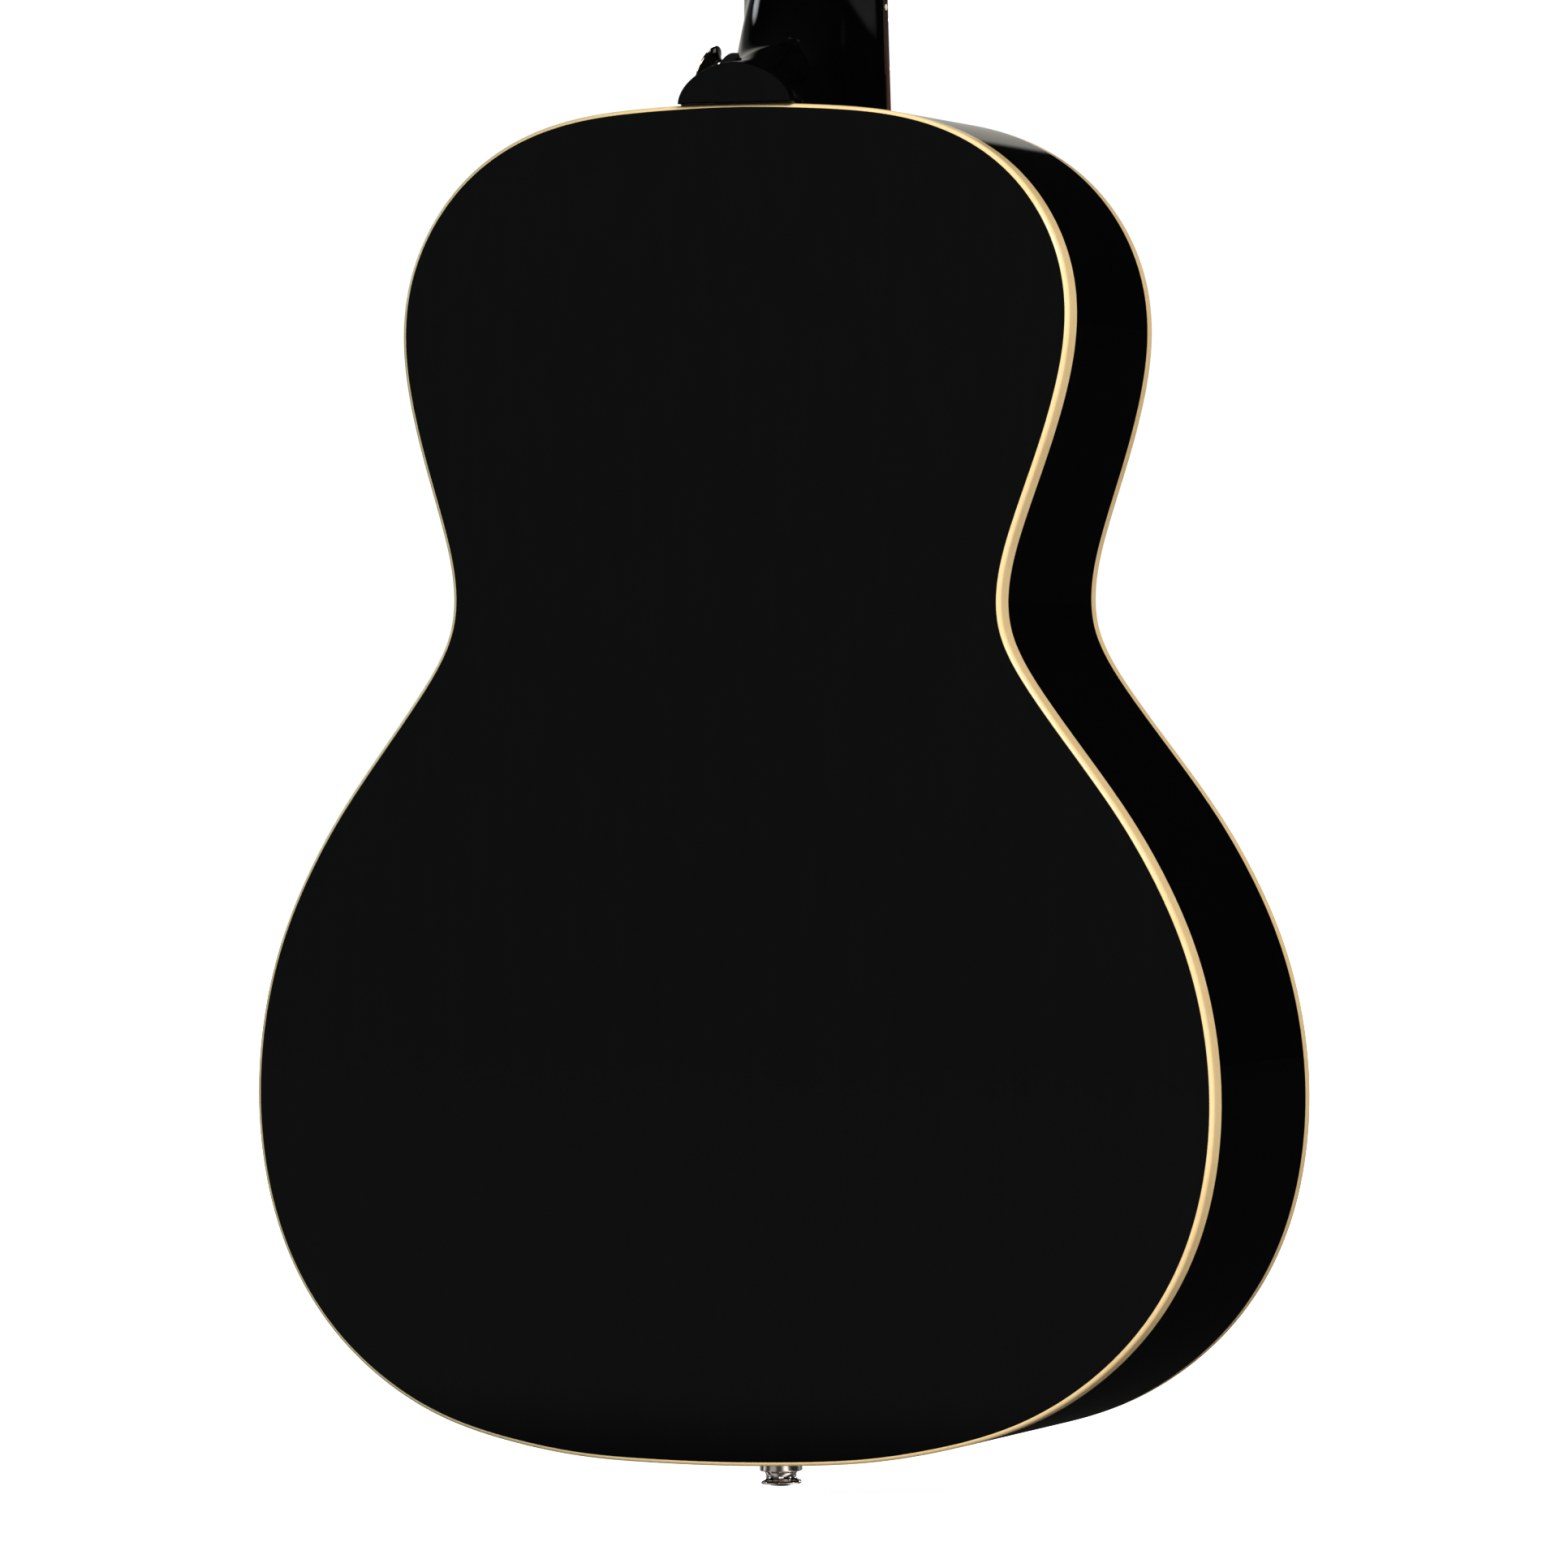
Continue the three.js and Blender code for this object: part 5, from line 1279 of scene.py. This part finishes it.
def make_post(number, side, post_z):
    """The post with its gear and the gear's cap."""
    center = side * TUNER_X
    origin = to_head([center, 0, post_z])
    piece = Piece().lathe(fillet(POST, 4, closed=False), origin, HEAD_BACK, 48)
    piece.lathe(fillet(GEAR_CAP, 4, closed=False), origin, HEAD_BACK, 40)
    tooth = [(radius, -half) for radius, half in TOOTH] + TOOTH[::-1]
    outline = []
    for i in range(GEAR_TEETH):
        start = -QUARTER + i * 2 * math.pi / GEAR_TEETH
        outline += [[radius * math.cos(start + across / radius),
                     radius * math.sin(start + across / radius)] for radius, across in tooth]
    outline = np.array(outline)
    piece.loft([on_head(outline * size + [center, post_z], depth) for depth, size in GEAR_EDGE])
    post = f"tuner_post_{number}"
    piece.make(f"post_{number}_turned", "nickel_plate", "nickel", post, body=post, angle=35)


make_tuner_strip("bass", -1)
make_tuner_strip("treble", 1)
for k, (side, z) in enumerate(TUNERS):
    make_key(6 - k, side, z - KEY_DROP)
    make_post(6 - k, side, z)

# ------------------------------------------------------------------ pieces that keep their CAD shape
KEPT = {
    "spruce": "top_lining x_brace tone_bar transverse_brace back_brace_1 back_brace_2 "
              "back_brace_3 back_brace_4",
    "mahogany": "back_lining neck_block tail_block",
    "rosewood": "bridge_plate", "nickel_plate": "saddle_pickup", "cable_black": "pickup_lead",
    "plain_steel": "truss_rod"}
kept_material = {node: key for key, nodes in KEPT.items() for node in nodes.split()}
for name, ob in frame["nodes"].items():
    if ob.hide_render:
        continue
    material = MATERIALS[kept_material.get(name, "cover_black")]
    if not ob.material_slots:
        ob.data.materials.append(material)
    for slot in ob.material_slots:
        slot.material = material

# ------------------------------------------------------------------ floor (metres from here on)
LOW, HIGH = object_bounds()
CENTER = (LOW + HIGH) / 2
FLOOR_GAP, FLOOR_SEGMENTS = 0.0005, 128
FLOOR_RADII = [0.0, 0.5, 1.0, 2.0, 4.0, 8.0, 16.0, 40.0]
# strips of light on the floor, columns: bearing in degrees from the camera's side, brightness
FLOOR_STRIPS = [
    (-180, 0.5), (-140, 0.4), (-124, 0.15), (-112, 0.02), (-100, 0.02), (-89, 0.7),
    (-79, 0.2), (-68, 0.02), (-58, 0.05), (-48, 0.28), (-30, 0.30), (-20, 0.06), (-8, 0.03),
    (2, 0.12), (14, 0.9), (24, 1.0), (36, 0.12), (50, 0.02), (92, 0.02), (112, 0.25),
    (128, 0.04), (180, 0.4)]
TO_CAMERA_X, TO_CAMERA_Y = -0.397, 0.917


def pale_floor():
    """White to the camera. Mirrored in gloss it is black, with light in chosen places."""
    graph = new_material("pale_floor")
    pale = graph.ramp(graph.noise(graph.position(), scale=6.0, detail=3.0),
                      [(0.3, (0.90, 0.90, 0.90)), (0.7, (0.94, 0.94, 0.94))])
    light_path = graph.node("LightPath").outputs
    glossy, ray_length = light_path["Is Glossy Ray"], light_path["Ray Length"]
    seen = graph.mul(light_path["Is Camera Ray"], 0.98)
    place = graph.separate(graph.position())
    behind = graph.remap(place[1], low=0.0, high=0.5, to=(0.0, 0.102))
    # only metal close to the floor, a hand's breadth away, mirrors the strips
    near = graph.remap(ray_length, low=0.135, high=0.155, to=(1.0, 0.0))
    ahead = graph.blend(place[0], TO_CAMERA_X, place[1], TO_CAMERA_Y)
    aside = graph.blend(place[0], -TO_CAMERA_Y, place[1], TO_CAMERA_X)
    bearing = graph.math("ARCTAN2", aside, ahead)
    turn = graph.remap(bearing, low=-math.pi, high=math.pi, smooth=False)
    strips = graph.ramp(turn, [((degrees + 180) / 360, (level, level * 0.93, level * 0.88))
                               for degrees, level in FLOOR_STRIPS])
    incoming = graph.node("NewGeometry").outputs["Incoming"]
    rise = graph.separate(incoming)[2]
    slant = graph.vector("DOT_PRODUCT", incoming, (0.64, 0.64, 0.42))["Value"]
    slanted = graph.remap(slant, low=0.90, high=0.985, to=(0.0, 0.09))
    height = graph.mul(rise, ray_length)
    low_down = graph.remap(height, low=0.0112, high=0.0128, to=(1.0, 0.0))
    strip_strength = 1.7
    pool = graph.mul(graph.mul(near, low_down), graph.mul(strips, strip_strength))
    mirrored = graph.mul(glossy, graph.add(graph.add(behind, slanted), pool))
    graph.surface(Base_Color=graph.mix(glossy, pale, (0.004, 0.004, 0.004)), Roughness=0.9,
                  Emission_Color=(1, 1, 1), Emission_Strength=graph.add(seen, mirrored))


def make_floor():
    mesh = bpy.data.meshes.new("floor")
    turns = [2 * math.pi * j / FLOOR_SEGMENTS for j in range(FLOOR_SEGMENTS)]
    vertices = [(radius * math.cos(turn), radius * math.sin(turn), LOW.z - FLOOR_GAP)
                for radius in FLOOR_RADII for turn in turns]
    faces = []
    for i in range(len(FLOOR_RADII) - 1):
        low, high = i * FLOOR_SEGMENTS, (i + 1) * FLOOR_SEGMENTS
        for j in range(FLOOR_SEGMENTS):
            after = (j + 1) % FLOOR_SEGMENTS
            faces.append((low + j, low + after, high + after, high + j))
    mesh.from_pydata(vertices, [], faces)
    pale_floor()
    mesh.materials.append(MATERIALS["pale_floor"])
    link_object("floor", mesh)


make_floor()

# ------------------------------------------------------------------ world
# soft panels: direction, cosines where the panel begins and is full, brightness
PANELS = [
    ((0.397, 0.917, 0.0), 0.86, 0.97, 0.100),    # behind the back, towards the treble side
    ((0, 0, 1), 0.5, 0.95, 0.02),                # overhead
    ((-0.985, -0.12, 0.10), 0.94, 0.992, 0.24),  # off the bass side
    ((0.95, -0.02, 0.30), 0.975, 0.994, 4.5),    # bright, off the treble side
    ((0.72, -0.66, 0.0), 0.80, 0.97, 0.11),      # spill off the treble side, to the front
    ((0.0, -1.0, 0.02), 0.955, 0.992, 0.09)]     # straight in front of the soundboard
SCREEN_LEVEL, AMBIENT = 0.36, 0.004
# for red, green and blue: share of the whole, and what the screen adds
CHANNELS = [(0.97, 0.035), (1.0, 0.012), (1.03, -0.045)]


def make_world(scene):
    """White to the camera; everything else sees dim panels and a broad screen."""
    world = bpy.data.worlds.new("studio")
    scene.world = world
    world.use_nodes = True
    graph = Graph(world.node_tree)
    output = graph.node("OutputWorld")
    direction = graph.node("TexCoord").outputs["Generated"]
    x, y, z = graph.separate(direction)
    # the screen stands in front of the soundboard, to the treble side, above floor level
    screen = graph.mul(graph.remap(x, low=0.235, high=0.275), graph.remap(z, low=-0.06, high=0.04))
    screen = graph.mul(screen, graph.remap(graph.mul(y, -1.0), low=0.55, high=0.75))
    level = graph.mul(screen, SCREEN_LEVEL)
    for toward, begins, full, brightness in PANELS:
        toward = np.asarray(toward, float)
        toward = tuple(toward / np.linalg.norm(toward))
        cosine = graph.vector("DOT_PRODUCT", direction, toward)["Value"]
        level = graph.add(level, graph.remap(cosine, begins, full, to=(0.0, brightness)))
    level = graph.add(level, AMBIENT)
    color = graph.node("CombineXYZ", *[
        graph.blend(level, share, screen, extra) for share, extra in CHANNELS]).outputs[0]
    room = graph.node("Background", Color=color)
    white = graph.node("Background", Color=(1, 1, 1), Strength=1.02)
    camera_ray = graph.node("LightPath").outputs["Is Camera Ray"]
    mixed = graph.node("MixShader", camera_ray, room.outputs[0], white.outputs[0])
    graph.feed(output, Surface=mixed.outputs[0])


scene = bpy.context.scene
make_world(scene)
scene.view_settings.view_transform = "Standard"
scene.view_settings.look = "None"
scene.view_settings.exposure = 0.0
scene.view_settings.gamma = 1.0


# ------------------------------------------------------------------ lights
def area(name, at, size, power, size_y=None, color=(1, 1, 1), only=None, aim=CENTER):
    """A panel of light; only: the collection that it lights."""
    light = bpy.data.lights.new(name, "AREA")
    light.shape = "RECTANGLE"
    light.size, light.size_y, light.energy, light.color = size, size_y or size, power, color
    ob = link_object(name, light)
    ob.location = at
    ob.rotation_mode = "QUATERNION"
    ob.rotation_quaternion = (Vector(aim) - Vector(at)).to_track_quat("-Z", "Y")
    if only is None:
        ob.visible_glossy = False      # the lacquer mirrors the soft panels of the world instead
    else:
        ob.light_linking.receiver_collection = only
    return ob


def group(name, objects):
    collection = bpy.data.collections.new(name)
    for ob in objects:
        collection.objects.link(ob)
    return collection


def objects_of(*keys):
    """Meshes whose first material is one of these."""
    wanted = [MATERIALS[key] for key in keys]
    return [ob for ob in scene.objects
            if ob.type == "MESH" and ob.data.materials and ob.data.materials[0] in wanted]


area("key", at=(-2.9, 2.9, 2.7), size=1.8, power=198)      # high, behind the bass side
area("side_strip", at=(4.2, 0.4, 0.9), size=1.4, power=45, size_y=2.6)    # off the treble side
area("front_soft", at=(0.8, -4.0, 2.4), size=2.4, power=80)               # on the soundboard
area("top", at=(0.2, 0.2, 4.2), size=1.6, power=40)

# a glint runs along the binding's rounded corner
area("edge_glint", at=(-1.7, 3.2, 2.5), size=0.9, power=95,
     only=group("edges", objects_of("binding_cream")))

# polished metal gets its own cards to mirror
shiny = group("shiny", objects_of("nickel_plate", "nickel_silver", "plain_steel"))
shiny_back = group("shiny_back", [ob for ob in shiny.objects if not ob.name.startswith("jack_")])
shiny_pin = group("shiny_pin", [ob for ob in shiny.objects if ob.name.startswith("jack_")])
WARM = (1.0, 0.93, 0.88)
area("card_back", at=(-1.4, 4.6, 1.0), size=2.2, power=150, size_y=4.0, color=WARM,
     only=shiny_back)
area("card_pin", at=(-1.0, 4.7, 1.0), size=0.8, power=40, size_y=4.0, color=WARM, only=shiny_pin)
area("card_left", at=(3.6, 1.2, 0.8), size=0.6, power=70, size_y=4.0, only=shiny)
area("card_right", at=(-4.0, -0.6, 0.8), size=0.6, power=60, size_y=4.0, only=shiny)
area("card_front_l", at=(2.6, -3.6, 0.8), size=2.0, power=220, size_y=4.0, only=shiny)
area("card_front_r", at=(-1.6, -4.2, 0.8), size=0.8, power=90, size_y=4.0, only=shiny)
area("card_top", at=(0, 0, 4.0), size=2.0, power=60, size_y=2.0, only=shiny)
# for the heel button's underside
low_card = area("card_low", at=(-0.33, 0.58, 0.20), aim=(0.03, -0.02, 0.51), size=0.24,
                power=0.7, size_y=0.42, color=(1.0, 0.94, 0.90), only=shiny)
low_card.visible_camera = False

# ------------------------------------------------------------------ camera
# it looks at the back from the bass side, through a long lens
LENS, SENSOR = 291.15332374, 36                            # mm
YAW, PITCH, ROLL = 0.407945, -0.039761, 0.016176           # radians
PIVOT = np.array([0, 50, 245])                             # luthier's frame, mm
PIVOT_IN_VIEW = np.array([-3.845167, 2.385403, 4596.528982])    # right, up and ahead, mm


def turned(first, second, angle):
    cos, sin = math.cos(angle), math.sin(angle)
    return first * cos - second * sin, first * sin + second * cos


def to_view(direction):
    """From the luthier's axes to right, up and ahead of the camera."""
    x, y, z = direction
    right, up, ahead = -x, z, -y
    ahead, right = turned(ahead, right, YAW)
    up, ahead = turned(up, ahead, PITCH)
    right, up = turned(right, up, ROLL)
    return [right, up, ahead]


view = np.array([to_view(axis) for axis in np.eye(3)]).T
right, up, ahead = view
place = (PIVOT + np.linalg.solve(view, -PIVOT_IN_VIEW) + SHIFT) / 1000
camera = bpy.data.cameras.new("camera")
camera.lens, camera.sensor_width = LENS, SENSOR
camera.clip_start, camera.clip_end = 0.05, 200
camera_ob = link_object("camera", camera)
camera_ob.matrix_world = Matrix(
    np.column_stack([right, up, -ahead, place]).tolist() + [[0, 0, 0, 1]])
scene.camera = camera_ob
